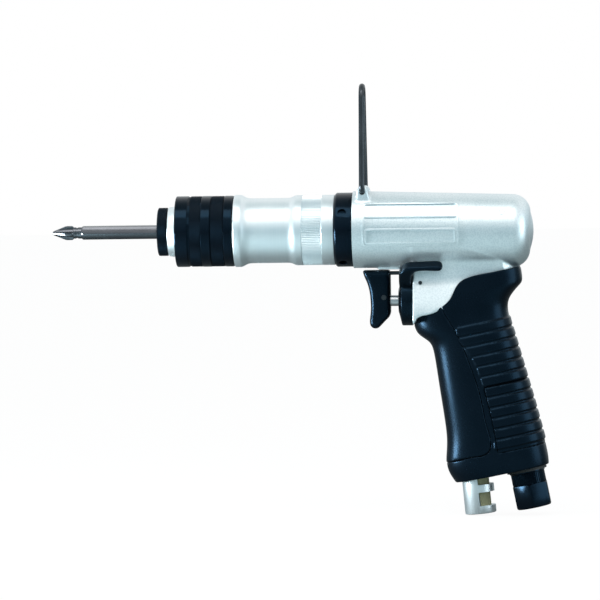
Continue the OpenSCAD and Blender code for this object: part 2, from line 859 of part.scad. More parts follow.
module ring_gear()
    color(bright_steel)
        difference() {
            rod_x(planet_x - side_gap, carrier_rear_x + carrier_rear_t, ring_r);
            translate([planet_x - side_gap - over, 0, 0]) rotate([0, 90, 0])
                rotate([0, 0, 180 / ring_teeth])
                    linear_extrude(height = planet_w + carrier_rear_t + side_gap * 2 + 2 * over)
                        gear_2d(ring_teeth, -mesh_gap, dedendum_share, addendum_share);
        }

module carrier_bearing()
    color(bright_steel) {
        race_wall = 1.8;
        ball_ring_r = (bearing_r + carrier_hub_r) / 2;
        race_bite = 0.6;
        race_ball_r = (bearing_r - carrier_hub_r) / 2 - race_wall + race_bite;
        tube_x(bearing_x, bearing_x + bearing_t, bearing_r, bearing_r - race_wall);
        tube_x(bearing_x, bearing_x + bearing_t, carrier_hub_r + race_wall, carrier_hub_r + run_gap);
        for (i = [0 : 9])
            rotate([36 * i, 0, 0])
                translate([bearing_x + bearing_t / 2, 0, ball_ring_r])
                    sphere(r = race_ball_r, $fn = fine_sides);
    }

// Clutch case: neck for the sleeve, waist, gear end with its knurled band, and a threaded spigot
module clutch_case() {
    face_x = flange_x + flange_t;
    color(silver)
        difference() {
            turned([
                [face_x, case_bore_r], [face_x, neck_outer_r], [case_x, neck_outer_r],
                [case_x, rim_r], [case_x + rim_t, rim_r], [waist_x, waist_r],
                [gear_step_x, waist_r], [gear_step_x + gear_step_len, gear_end_r],
                [knurl_x, gear_end_r], [knurl_x, gear_end_r - knurl_depth],
                [knurl_x + knurl_len, gear_end_r - knurl_depth], [knurl_x + knurl_len, gear_end_r],
                [shoulder_x, gear_end_r], [shoulder_x, case_thread_r], [spigot_end_x, case_thread_r],
                [spigot_end_x, ring_r], [gear_bore_x, ring_r], [gear_bore_x, case_bore_r]
            ]);
            translate([slot_x, -sleeve_d, -key_w / 2 - run_gap])
                cube([slot_len, 2 * sleeve_d, key_w + 2 * run_gap]);
        }
}

module lock_ring()
    color(black)
        difference() {
            turned([
                [shoulder_x, case_thread_r], [shoulder_x, lock_ring_r - lock_ring_edge],
                [shoulder_x + lock_ring_edge, lock_ring_r], [barrel_x - sleeve_edge, lock_ring_r],
                [barrel_x, lock_ring_r - sleeve_edge], [barrel_x, case_thread_r]
            ]);
            for (i = [0 : spanner_n - 1])
                rotate([90 - spanner_angle + 360 * i / spanner_n, 0, 0])
                    translate([spanner_x, 0, lock_ring_r - spanner_depth])
                        cylinder(h = spanner_depth + over, r = spanner_hole_d / 2);
        }

// Outside of the barrel: a slim cone that droops a little, with a rounded rear end
module barrel_body() {
    end_r = barrel_rear_r - rear_round;
    round_steps = 8;
    translate([barrel_x, 0, 0]) rotate([0, barrel_droop, 0])
        turned(concat(
            [[-over, 0], [-over, barrel_r]],
            [
                for (i = [0 : round_steps])
                let (a = 90 * i / round_steps)
                [barrel_len - rear_dome - rear_round * (1 - sin(a)), end_r + rear_round * cos(a)]
            ],
            [[barrel_len, 0]]
        ));
}

// Raised frame lines on the near side of the barrel, with their places as shares of the barrel
frame_lines_share = [
    [0.063, 0.588, 0.7, 0.7], [0.063, 0.588, 0.343, 0.343], [0.063, 0.588, 0.026, 0.026],
    [0.063, 0.588, -0.42, -0.42], [0.063, 0.063, -0.42, 0.7], [0.588, 0.588, -0.42, 0.7]
];
module raised_frame() {
    half = emboss_w / 2;
    intersection() {
        difference() {
            barrel_skin(emboss_h);
            barrel_skin(-emboss_h);
        }
        for (line = frame_lines_share)
            translate([barrel_x + barrel_len * line[0] - half, -barrel_d, barrel_r * line[2] - half])
                cube([
                    barrel_len * (line[1] - line[0]) + emboss_w, barrel_d,
                    barrel_r * (line[3] - line[2]) + emboss_w
                ]);
    }
}

// The barrel's cone, moved outwards by extra
module barrel_skin(extra)
    translate([barrel_x, 0, 0]) rotate([0, barrel_droop, 0])
        turned([
            [0, 0], [0, barrel_r + extra], [barrel_len, barrel_rear_r + extra], [barrel_len, 0]
        ]);

// A prism with round front and rear in the handle's frame, from depth s0 down to s1
module core_prism(s0, s1, front, rear, r)
    in_handle() translate([0, 0, -s1]) {
        translate([front, 0, 0]) cylinder(h = s1 - s0, r = r);
        translate([rear, 0, 0]) cylinder(h = s1 - s0, r = r);
        translate([front, -r, 0]) cube([rear - front, 2 * r, s1 - s0]);
    }

// Places a cylinder along the inlet's or the muffler's axis, from depth s0 down to s1
module inlet_rod(s0, s1, r)
    in_handle() translate([inlet_at, 0, -s1]) cylinder(h = s1 - s0, r = r);
module on_muffler()
    in_handle() translate([muffler_at, 0, -grip_len]) rotate([0, muffler_lean, 0]) children();

// The casting's inside handle with its bosses, grown by gap on every side
module handle_core(gap) {
    core_prism(core_top - gap, core_end + gap, core_front, core_rear, core_r + gap);
    inlet_rod(grip_len - inlet_boss_len - gap, grip_len, inlet_boss_r + gap);
    on_muffler() cylinder(h = inlet_boss_len + gap, r = muffler_boss_r + gap);
    translate([0, 0, valve_z]) rod_x(boss_x, handle_x, boss_r + gap);
}

// Silver neck: everything of the handle above the grip's edge
module handle_neck() {
    top = 0.12;
    above = concat(grip_edge_shares, [[-0.8, -top], [0.8, -top]]);
    intersection() {
        side_region(above);
        core_prism(-grip_len * top, grip_len / 2, -neck_w / 2, neck_w * neck_rear_share, neck_w / 2);
        rod_x(neck_face_x, barrel_end_x - rear_round, grip_len);
    }
}

// The room that the thumb tabs sweep, on both sides
module lever_sweep()
    translate([0, 0, valve_z])
        for (side = [-1, 1])
            intersection() {
                tube_x(
                    lever_x - over, lever_x + tab_len + side_gap,
                    tab_r + sweep_gap, tab_inner_r - sweep_gap
                );
                tab_wedge(
                    side,
                    tab_centre - lever_rest - tab_span / 2 - sweep_side,
                    tab_centre + lever_rest + tab_span / 2 + sweep_side
                );
            }

// A wedge about the rod's axis on one side, between two angles from straight up
module tab_wedge(side, a0, a1) {
    far = 2 * tab_r;
    rotate([90, 0, 90])
        linear_extrude(height = 2 * barrel_x)
            polygon([
                [0, 0], [side * far * sin(a0), far * cos(a0)],
                [side * far * sin((a0 + a1) / 2), far * cos((a0 + a1) / 2)],
                [side * far * sin(a1), far * cos(a1)]
            ]);
}

// Upright rib on the near side above the thumb tab
module side_rib() {
    rib_inset = 0.6;
    rib_x = boss_x - rib_inset;
    rib_w = 2;
    rib_h = 6.5;
    rib_top_z = -8;
    rib_out = 0.8;
    intersection() {
        difference() {
            barrel_skin(rib_out);
            barrel_skin(-rib_out);
        }
        translate([rib_x, -barrel_d, rib_top_z - rib_h]) cube([rib_w, barrel_d, rib_h]);
    }
}

// Motor housing: barrel, ears, trigger ledge, neck and handle core in one casting
module motor_housing() {
    ledge_w = 10;
    ledge_x = trigger_x + 8;
    ledge_len = 11;
    ledge_z = trigger_top_z + side_gap;
    color(silver)
        difference() {
            union() {
                difference() {
                    union() {
                        barrel_body();
                        handle_neck();
                        translate([ledge_x, -ledge_w / 2, ledge_z])
                            cube([ledge_len, ledge_w, barrel_r / 2]);
                    }
                    lever_sweep();
                }
                raised_frame();
                side_rib();
                handle_core(0);
                for (side = [-1, 1])
                    translate([bail_x, side * (ear_face - ear_t / 2), bail_z]) rotate([90, 0, 0])
                        cylinder(h = ear_t, r = ear_r, center = true);
            }
            rod_x(barrel_x - 2 * over, barrel_x, barrel_d);
            rod_x(barrel_x - over, barrel_x + motor_bore_len, motor_bore_r);
            rod_x(barrel_x, barrel_x + motor_bore_len + rear_cavity_len, rear_cavity_r);
            translate([bail_x, 0, bail_z]) rotate([90, 0, 0])
                cylinder(h = bail_w, r = bail_hole_r, center = true);
            translate([0, 0, valve_z]) {
                rod_x(boss_x - over, valve_bush_x, lever_hub_r + run_gap);
                rod_x(valve_bush_x, valve_bush_end_x, valve_bush_r);
            }
            translate([0, 0, guide_pin_z]) rod_x(neck_face_x - over, guide_pin_end_x, guide_pin_r);
            inlet_rod(grip_len - inlet_spigot_len, grip_len + over, inlet_spigot_r);
            inlet_rod(grip_len * passage_top_share, grip_len, passage_r);
            on_muffler() translate([0, 0, -over])
                cylinder(h = muffler_spigot + over, r = muffler_r - muffler_wall);
            on_muffler() cylinder(h = grip_len * (1 - passage_top_share), r = exhaust_r);
            for (x = motor_ports_x)
                translate([x, 0, valve_z]) cylinder(h = valve_drop - rotor_r, r = passage_r / 2);
            bush_pin_shape();
        }
}

// Pin across the neck that keeps the valve bush
bush_pin_x = 131.2;
bush_pin_rise = 9.2;
bush_pin_z = valve_z + bush_pin_rise;
module bush_pin_shape()
    translate([bush_pin_x, 0, bush_pin_z]) rotate([90, 0, 0])
        cylinder(h = neck_w - 2 * emboss_h, r = guide_pin_r, center = true);
module bush_pin() color(dark_steel) bush_pin_shape();

// Brass bush with the chambers of the reverse valve and the throttle valve
module valve_bush() {
    bore_r = valve_bush_r - valve_bush_wall;
    color(bronze)
        translate([0, 0, valve_z])
            difference() {
                rod_x(valve_bush_x, valve_bush_end_x, valve_bush_r);
                rod_x(valve_bush_x - over, valve_bush_end_x - valve_end_t, bore_r);
                for (x = motor_ports_x)
                    translate([x, 0, 0]) cylinder(h = barrel_r, r = passage_r / 2);
                for (x = [exhaust_port_x, inlet_port_x])
                    translate([x, 0, -barrel_r]) cylinder(h = barrel_r, r = passage_r / 2);
                translate([0, 0, -valve_z]) bush_pin_shape();
            }
}

module throttle_seat()
    color(rubber_black)
        translate([0, 0, valve_z])
            tube_x(
                valve_seat_x, valve_seat_x + valve_seat_t,
                valve_bush_r - valve_bush_wall, valve_seat_bore_r
            );

// Points of one section of the grip, drawn in by inset
function grip_ring(share, inset) =
    let (
        front = share[1] * grip_depth,
        rear = share[2] * grip_depth,
        half_w = share[3] * grip_w / 2 - inset,
        half_d = (rear - front) / 2 - inset,
        power = 2 / sections_round
    )
    [
        for (k = [0 : section_sides - 1])
        let (a = 360 * (k + 0.5) / section_sides)
        [
            (front + rear) / 2 + half_d * sign(cos(a)) * pow(abs(cos(a)), power),
            half_w * sign(sin(a)) * pow(abs(sin(a)), power),
            -share[0] * grip_len
        ]
    ];

// The grip's outer form, swept through its sections and drawn in by inset
module grip_loft(inset = 0) {
    n = section_sides;
    last = n * (len(grip_section_shares) - 1);
    sides = [
        for (i = [0 : len(grip_section_shares) - 2])
        for (k = [0 : n - 1])
        let (a = i * n + k, b = i * n + (k + 1) % n)
        each [[a, b, a + n], [b, b + n, a + n]]
    ];
    caps = [
        for (k = [1 : n - 2])
        each [[0, k + 1, k], [last, last + k, last + k + 1]]
    ];
    in_handle()
        polyhedron(
            points = [for (share = grip_section_shares) each grip_ring(share, inset)],
            faces = concat(sides, caps)
        );
}

// What the grip leaves free: the neck, the core and the barrel with the lever
module grip_hollow() {
    above = concat(grip_edge_shares, [[-0.8, -0.4], [0.8, -0.4]]);
    side_region(above);
    handle_core(grip_fit);
    barrel_skin(grip_fit);
    rod_x(barrel_x, boss_x + side_gap, 2 * grip_len);
    inlet_rod(grip_len - over / 2, grip_len + over, inlet_boss_r + grip_fit);
    on_muffler() translate([0, 0, -2 * over])
        cylinder(h = 2 * over + grip_fit, r = muffler_r + grip_fit);
}

module grip_front()
    color(rubber_black)
        intersection() {
            difference() {
                grip_loft();
                grip_hollow();
            }
            side_region(concat(pad_edge_shares, [[-0.8, 0.1]]));
        }

module grip_rear()
    color(black)
        difference() {
            grip_loft();
            grip_hollow();
            side_region(concat(pad_edge_shares, [[-0.8, 0.1]]));
            panel_room();
        }

// The skin of the grip inside the panel's outline
module panel_room(depth = panel_depth)
    difference() {
        intersection() {
            grip_loft();
            side_region(panel_shares);
        }
        grip_loft(depth);
    }

// Rear panel with plain grooves across it
module grip_panel() {
    first = grip_len * rib_span_shares[0];
    step = grip_len * (rib_span_shares[1] - rib_span_shares[0]) / (ribs_n - 1);
    color(black)
        difference() {
            panel_room();
            difference() {
                in_handle()
                    for (i = [0 : ribs_n - 1])
                        translate([grip_depth * rib_front_share, -grip_w, -first - step * i])
                            cube([grip_depth, 2 * grip_w, panel_rib_w]);
                grip_loft(panel_rib_h);
            }
        }
}

// Inlet bush: spigot, flange, ribbed collar and hexagon, with the thread's bore at its mouth
module inlet_bush() {
    hex_x0 = inlet_flange_t + inlet_collar_len;
    corner_r = inlet_af / 2 / cos(30);
    color(black)
        difference() {
            union() {
                inlet_rod(grip_len - inlet_spigot_len, grip_len + gasket_t, inlet_spigot_r);
                inlet_rod(grip_len + gasket_t, grip_len + inlet_flange_t + over, inlet_flange_r);
                inlet_rod(grip_len + inlet_flange_t, grip_len + hex_x0 + over, inlet_collar_r);
                intersection() {
                    in_handle() translate([inlet_at, 0, -grip_len - inlet_len]) rotate([0, 0, 30])
                        cylinder(h = inlet_len - hex_x0, r = corner_r, $fn = 6);
                    in_handle() translate([inlet_at, 0, -grip_len - inlet_len]) {
                        cylinder(
                            h = 2 * inlet_edge, r1 = corner_r - inlet_edge, r2 = corner_r + inlet_edge
                        );
                        translate([0, 0, 2 * inlet_edge])
                            cylinder(h = inlet_len, r = corner_r + inlet_edge);
                    }
                }
            }
            inlet_rod(
                grip_len + inlet_len - inlet_thread_len, grip_len + inlet_len + over, inlet_bore_d / 2
            );
            inlet_rod(grip_len - inlet_spigot_len - over, grip_len + inlet_len, inlet_passage_r);
        }
}

module inlet_gasket()
    color(rubber_black)
        difference() {
            inlet_rod(grip_len, grip_len + gasket_t, gasket_r);
            inlet_rod(grip_len - over, grip_len + gasket_t + over, inlet_spigot_r);
        }

// Strainer: a lip in the bush and a thin cup up the passage
module inlet_strainer() {
    s1 = grip_len + inlet_len - inlet_thread_len - side_gap;
    color(bronze)
        difference() {
            union() {
                inlet_rod(s1 - strainer_len, s1, strainer_r);
                inlet_rod(s1 - over, s1, strainer_lip_r - run_gap);
            }
            inlet_rod(s1 - strainer_len + strainer_wall, s1 + over, strainer_r - strainer_wall);
        }
}

// Muffler: a tube with slots to the rear, closed below
module muffler() {
    inner_r = muffler_r - muffler_wall;
    floor_t = 2 * muffler_wall;
    edge = 0.6;
    color(silver)
        on_muffler()
            difference() {
                union() {
                    translate([0, 0, -muffler_len])
                        cylinder(h = edge, r1 = muffler_r - edge, r2 = muffler_r);
                    translate([0, 0, edge - muffler_len]) cylinder(h = muffler_len - edge, r = muffler_r);
                    cylinder(h = muffler_spigot, r = inner_r);
                }
                translate([0, 0, floor_t - muffler_len])
                    cylinder(h = muffler_len + muffler_spigot, r = inner_r - muffler_wall / 2);
                for (s = slot_share)
                    translate([0, -muffler_d, -muffler_len * s[1]])
                        cube([muffler_d, 2 * muffler_d, muffler_len * (s[1] - s[0])]);
            }
}

module muffler_sleeve() {
    outer_r = muffler_r - muffler_wall * 1.5 - run_gap;
    color(felt_olive)
        on_muffler() translate([0, 0, 2 * muffler_wall - muffler_len])
            difference() {
                cylinder(h = muffler_len, r = outer_r);
                translate([0, 0, -over]) cylinder(h = muffler_len + 2 * over, r = outer_r - felt_wall);
            }
}

// Motor cylinder: its bore stands off the axis, with a row of ports on each side
module motor_cylinder()
    color(bright_steel)
        difference() {
            rod_x(cylinder_x, rear_plate_x, motor_fit_r);
            translate([0, 0, cylinder_shift])
                rod_x(cylinder_x - over, rear_plate_x + over, cylinder_bore_r);
            for (i = [1 : ports_n], a = [180 - port_angle, 180 + port_angle])
                rotate([a, 0, 0])
                    translate([cylinder_x + cylinder_len * i / (ports_n + 1), 0, 0])
                        cylinder(h = motor_bore_d, r = port_r);
        }

// End plate with a pocket for its bearing on the motor's outer side
module end_plate(x0, pocket_x)
    color(bright_steel)
        difference() {
            rod_x(x0, x0 + end_plate_t, motor_fit_r);
            rod_x(x0 - over, x0 + end_plate_t + over, motor_shaft_r + loose_gap);
            rod_x(pocket_x, pocket_x + motor_bearing_t + over, motor_bearing_r);
        }
module front_end_plate() end_plate(front_plate_x, front_plate_x - over);
module rear_end_plate() end_plate(rear_plate_x, rear_plate_x + end_plate_t - motor_bearing_t);

// Ball bearing: two rings and their balls
module motor_bearing(x0) {
    wall = 1.2;
    ball_ring_r = (motor_bearing_r + motor_shaft_r) / 2;
    bite = 0.3;
    ball_r = (motor_bearing_r - motor_shaft_r) / 2 - wall + bite;
    color(bright_steel) {
        tube_x(x0, x0 + motor_bearing_t, motor_bearing_r, motor_bearing_r - wall);
        tube_x(x0, x0 + motor_bearing_t, motor_shaft_r + wall, motor_shaft_r + run_gap);
        for (i = [0 : 7])
            rotate([45 * i, 0, 0])
                translate([x0 + motor_bearing_t / 2, 0, ball_ring_r])
                    sphere(r = ball_r, $fn = fine_sides);
    }
}
module front_bearing() motor_bearing(front_plate_x);
module rear_bearing() motor_bearing(rear_plate_x + end_plate_t - motor_bearing_t);

// Rotor with its slots, shaft and the sun pinion in front
module rotor()
    color(bright_steel)
        difference() {
            union() {
                rod_x(rotor_x, rotor_x + rotor_len, rotor_r);
                rod_x(planet_x + planet_w + side_gap, front_plate_x - side_gap, sun_shaft_r);
                rod_x(front_plate_x - side_gap, rear_plate_x + end_plate_t, motor_shaft_r);
                gear_x(planet_x + side_gap, planet_w + side_gap, sun_teeth, 0);
            }
            for (i = [0 : vanes_n - 1])
                rotate([360 * i / vanes_n, 0, 0])
                    translate([rotor_x - over, -vane_t / 2 - run_gap, rotor_r - vane_depth])
                        cube([rotor_len + 2 * over, vane_t + 2 * run_gap, vane_depth + over]);
        }

module vanes()
    color("#6b4a2e")
        for (i = [0 : vanes_n - 1])
            rotate([360 * i / vanes_n, 0, 0])
                translate([rotor_x, -vane_t / 2, vane_tip_r - vane_depth])
                    cube([rotor_len, vane_t, vane_depth]);

// Bail: round top, two legs that spread, and ends bent into the ears
module bail() {
    rise = bail_h - wire_r - bail_top_r;
    spread = bail_half - bail_top_r;
    lean = atan(spread / (rise - bail_bend_r));
    top_y = bail_top_r * cos(lean);
    top_z = rise + bail_top_r * sin(lean);
    foot_z = bail_bend_r;
    leg_len = sqrt(pow(bail_half - top_y, 2) + pow(top_z - foot_z, 2));
    leg_lean = atan((bail_half - top_y) / (top_z - foot_z));
    color(dark_steel)
        translate([bail_x, 0, bail_z]) {
            translate([0, 0, rise]) rotate([90, 0, 90]) rotate([0, 0, lean])
                rotate_extrude(angle = 180 - 2 * lean)
                    translate([bail_top_r, 0]) circle(r = wire_r, $fn = fine_sides);
            for (side = [-1, 1]) {
                translate([0, side * bail_half, foot_z]) rotate([side * leg_lean, 0, 0])
                    cylinder(h = leg_len, r = wire_r, $fn = fine_sides);
                translate([0, side * top_y, top_z]) sphere(r = wire_r, $fn = fine_sides);
                translate([0, side * bail_half, foot_z]) sphere(r = wire_r, $fn = fine_sides);
                translate([0, side * (bail_half - bail_bend_r), foot_z])
                    rotate([90, 0, 90]) rotate([0, 0, side > 0 ? -90 : 180])
                        rotate_extrude(angle = 90)
                            translate([bail_bend_r, 0]) circle(r = wire_r, $fn = fine_sides);
                translate([0, side * (bail_half - bail_bend_r), 0]) rotate([side * 90, 0, 0])
                    cylinder(h = bail_stub, r = wire_r, $fn = fine_sides);
            }
        }
}

// Trigger: the finger piece, bored for the rod, its pin and the guide pin
module trigger()
    color(black)
        difference() {
            translate([trigger_x, 0, trigger_top_z]) rotate([90, 0, 0])
                linear_extrude(height = trigger_w, center = true)
                    polygon([for (p = trigger_side_shares) [p[0] * trigger_depth, -p[1] * trigger_h]]);
            translate([0, 0, valve_z]) rod_x(rod_front_x, lever_x, rod_r);
            translate([0, 0, guide_pin_z]) rod_x(trigger_x - over, lever_x, guide_pin_r + run_gap);
            trigger_pin_shape(over);
        }

module trigger_pin_shape(extra)
    translate([trigger_pin_x, 0, trigger_pin_z]) rotate([90, 0, 0])
        cylinder(h = trigger_w + 2 * extra, r = trigger_pin_r, center = true);
module trigger_pin() color(dark_steel) trigger_pin_shape(0);

module guide_pin()
    color(dark_steel)
        translate([0, 0, guide_pin_z]) rod_x(guide_pin_x, guide_pin_end_x, guide_pin_r);

// Throttle rod: thick in front, thin through the reverse valve to the valve head
module throttle_rod()
    color(bright_steel)
        difference() {
            translate([0, 0, valve_z]) {
                rod_x(rod_front_x, rod_thin_x, rod_r);
                rod_x(rod_thin_x, valve_seat_x + valve_seat_t + valve_head_t, rod_thin_r);
            }
            trigger_pin_shape(over);
        }

module throttle_valve()
    color(rubber_black)
        translate([0, 0, valve_z])
            difference() {
                x0 = valve_seat_x + valve_seat_t + run_gap;
                rod_x(x0, x0 + valve_head_t, valve_head_r);
                rod_x(x0 - over, valve_seat_x + valve_seat_t + valve_head_t, rod_thin_r);
            }

module throttle_spring()
    color(bright_steel)
        translate([0, 0, valve_z])
            spring_x(
                valve_seat_x + valve_seat_t + valve_head_t + 2 * run_gap,
                valve_bush_end_x - valve_end_t - run_gap,
                throttle_coil_r, throttle_wire_r, throttle_curls
            );

module rod_seal()
    color(rubber_black)
        translate([0, 0, valve_z]) torus_x(seal_x, rod_thin_r + seal_wire_r, seal_wire_r);

// Reverse lever: ring round the rod with a thumb tab on each side
module reverse_lever() {
    arm_r = lever_r - over;
    color(black)
        translate([0, 0, valve_z]) rotate([-lever_rest, 0, 0])
            difference() {
                union() {
                    turned([
                        [lever_x, 0], [lever_x, lever_r / 2], [lever_x + lever_cone, lever_r],
                        [lever_x + lever_t, lever_r], [lever_x + lever_t, 0]
                    ]);
                    for (side = [-1, 1])
                        intersection() {
                            union() {
                                tube_x(lever_x + lever_cone, lever_x + tab_len, tab_r, tab_inner_r);
                                tube_x(lever_x + lever_cone, lever_x + lever_t, tab_r, arm_r);
                            }
                            tab_wedge(side, tab_centre - tab_span / 2, tab_centre + tab_span / 2);
                        }
                }
                rod_x(lever_x - over, lever_x + lever_t + over, lever_bore_r);
            }
}

// Rotary valve behind the lever, on one key with it
module reverse_valve()
    color(bronze)
        translate([0, 0, valve_z]) rotate([-lever_rest, 0, 0])
            difference() {
                rod_x(lever_x + lever_t, lever_hub_end_x, lever_hub_r);
                rod_x(lever_x + lever_t - over, lever_hub_end_x + over, lever_bore_r + loose_gap);
                for (side = [-1, 1])
                    rotate([side * lever_rest, 0, 0])
                        translate([motor_ports_x[0], 0, 0]) cylinder(h = barrel_r, r = passage_r / 2);
            }

motor_housing();
clutch_case();
nose();
lock_ring();
grip_front();
grip_rear();
grip_panel();
motor_cylinder();
front_end_plate();
rear_end_plate();
front_bearing();
rear_bearing();
ring_gear();
spindle_bush();
carrier_bearing();
valve_bush();
throttle_seat();
bush_pin();
guide_pin();
inlet_bush();
inlet_gasket();
inlet_strainer();
muffler();
muffler_sleeve();
bit_holder();
lock_balls();
collar_spring();
snap_ring();
bit();
planet_carrier();
planet_pins();
clutch_balls();
clutch_spring();
release_collar();
clutch_plate();
torque_sleeve();
spring_seat();
planet_1();
planet_2();
planet_3();
rotor();
vanes();
bail();
trigger();
trigger_pin();
throttle_rod();
throttle_valve();
throttle_spring();
rod_seal();
reverse_lever();
reverse_valve();
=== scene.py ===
# %% [markdown]
# # A pistol-grip air screwdriver
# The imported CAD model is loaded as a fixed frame, and the large pieces that show are modelled again
# round it. The tool could be sculpted as one block, but a maker turns, casts and moulds it piece by
# piece, so the lesson does the same with primitives, extrusions, bevels, booleans and modifiers. The
# bail, the pins and the pieces inside keep their CAD shapes. Lengths are in millimetres and multiplied
# by MM, because the frame is in metres. The bit points to -X, +Z is up, and the middle plane is Y = 0.

# %% Load the frame
import json
import math
import bmesh
import bpy
from mathutils import Matrix, Vector


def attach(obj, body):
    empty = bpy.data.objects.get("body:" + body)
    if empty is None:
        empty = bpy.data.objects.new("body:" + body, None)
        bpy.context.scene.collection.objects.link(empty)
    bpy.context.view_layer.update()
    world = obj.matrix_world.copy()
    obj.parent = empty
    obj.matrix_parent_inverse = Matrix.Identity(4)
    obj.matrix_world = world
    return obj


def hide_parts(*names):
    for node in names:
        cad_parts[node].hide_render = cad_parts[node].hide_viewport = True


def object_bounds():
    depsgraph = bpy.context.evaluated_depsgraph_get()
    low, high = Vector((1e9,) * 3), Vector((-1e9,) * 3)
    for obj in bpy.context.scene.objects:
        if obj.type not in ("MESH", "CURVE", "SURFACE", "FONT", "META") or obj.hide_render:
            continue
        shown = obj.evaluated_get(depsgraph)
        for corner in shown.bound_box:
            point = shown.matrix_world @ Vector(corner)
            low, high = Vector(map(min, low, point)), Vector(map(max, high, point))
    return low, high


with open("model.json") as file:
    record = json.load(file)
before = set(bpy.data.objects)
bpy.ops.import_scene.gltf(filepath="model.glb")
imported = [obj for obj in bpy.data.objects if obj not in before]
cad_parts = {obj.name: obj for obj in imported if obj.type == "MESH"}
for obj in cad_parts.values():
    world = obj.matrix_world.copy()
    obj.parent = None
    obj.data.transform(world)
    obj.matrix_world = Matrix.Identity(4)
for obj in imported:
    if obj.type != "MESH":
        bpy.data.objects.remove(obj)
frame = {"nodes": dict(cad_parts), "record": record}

cad_low, cad_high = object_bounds()
MM = 0.001
NODES = frame["nodes"]
print("frame box, mm:", [round(v / MM, 1) for v in (*cad_low, *cad_high)])

# %% [markdown]
# ## Camera
# The picture looks at the tool side-on, from a little above and a little behind, and from far away,
# so the barrel and the bit stay nearly parallel. A camera without perspective comes close, but a long
# lens also keeps the picture's slight convergence.

# %% Camera
AIM = Vector((70.4, 0, -34.9)) * MM
AZIMUTH, ELEVATION, ROLL = (math.radians(a) for a in (4.15, 2.4, 0.82))
DISTANCE, LENS, SENSOR, VIEW_END = 2.35, 282, 36, 20
camera = bpy.data.objects.new("camera", bpy.data.cameras.new("camera"))
bpy.context.scene.collection.objects.link(camera)
camera.data.lens = LENS
camera.data.sensor_width = SENSOR
camera.data.clip_end = VIEW_END
back = Vector((
    math.sin(AZIMUTH) * math.cos(ELEVATION),
    -math.cos(AZIMUTH) * math.cos(ELEVATION),
    math.sin(ELEVATION),
))
camera.location = AIM + back * DISTANCE
facing = (-back).to_track_quat("-Z", "Y").to_matrix() @ Matrix.Rotation(-ROLL, 3, "Z")
camera.rotation_euler = facing.to_euler()
bpy.context.scene.camera = camera
bpy.context.scene.view_settings.view_transform = "Standard"
print("camera at, m:", [round(v, 3) for v in camera.location])

# %% [markdown]
# ## Lamps
# Satin metal shows the room more than its own colour, so a studio lights it with soft boxes, and each
# box draws a bright band. One bare lamp would leave a hard spot, and many would wash the form out. A
# wide box above draws the band on the upper half of the barrel, and two small ones at the sides edge
# the black grip and the rear end.

# %% Lamps
LAMPS = {
    "key_lamp": ((-0.05, -0.72, 1.3), (1.4, 0.7), 9.0, (1, 0.98, 0.96)),
    "left_lamp": ((-0.24, -0.11, -0.08), (0.11, 0.12), 2.2, (0.84, 0.94, 1)),
    "right_lamp": ((0.75, -0.22, 0.04), (0.30, 0.46), 1.3, (0.84, 0.94, 1)),
}
for name, (place, extent, power, colour) in LAMPS.items():
    lamp = bpy.data.lights.new(name, "AREA")
    lamp.shape = "RECTANGLE"
    lamp.size, lamp.size_y = extent
    lamp.energy = power
    lamp.color = colour
    soft_box = bpy.data.objects.new(name, lamp)
    bpy.context.scene.collection.objects.link(soft_box)
    soft_box.location = place
    soft_box.rotation_euler = (AIM - Vector(place)).to_track_quat("-Z", "Y").to_euler()
    print(name, power, "W")

# %% [markdown]
# ## A small language for shaders
# A shader is a graph of nodes. It could be built one node and one link at a time, but then a formula
# takes a page. Here `Socket` wraps a node's output, and its operators add Math nodes. Every other
# node comes from `Tree.node`, which makes its settings first and then its values and links.

# %% Sockets
class Socket:
    """One output in a node tree, with arithmetic that adds Math nodes."""

    def __init__(self, tree, out):
        self.tree = tree
        self.out = out

    def math(self, operation, other):
        return self.tree.node("ShaderNodeMath", {"operation": operation}, {0: self, 1: other})

    def __add__(self, other):
        return self.math("ADD", other)

    def __mul__(self, other):
        return self.math("MULTIPLY", other)

    __radd__, __rmul__ = __add__, __mul__

    def step(self, low, high):
        """0 below low, 1 above high and smooth between them."""
        return self.tree.node(
            "ShaderNodeMapRange", {"interpolation_type": "SMOOTHSTEP"},
            {"Value": self, "From Min": low, "From Max": high},
        )


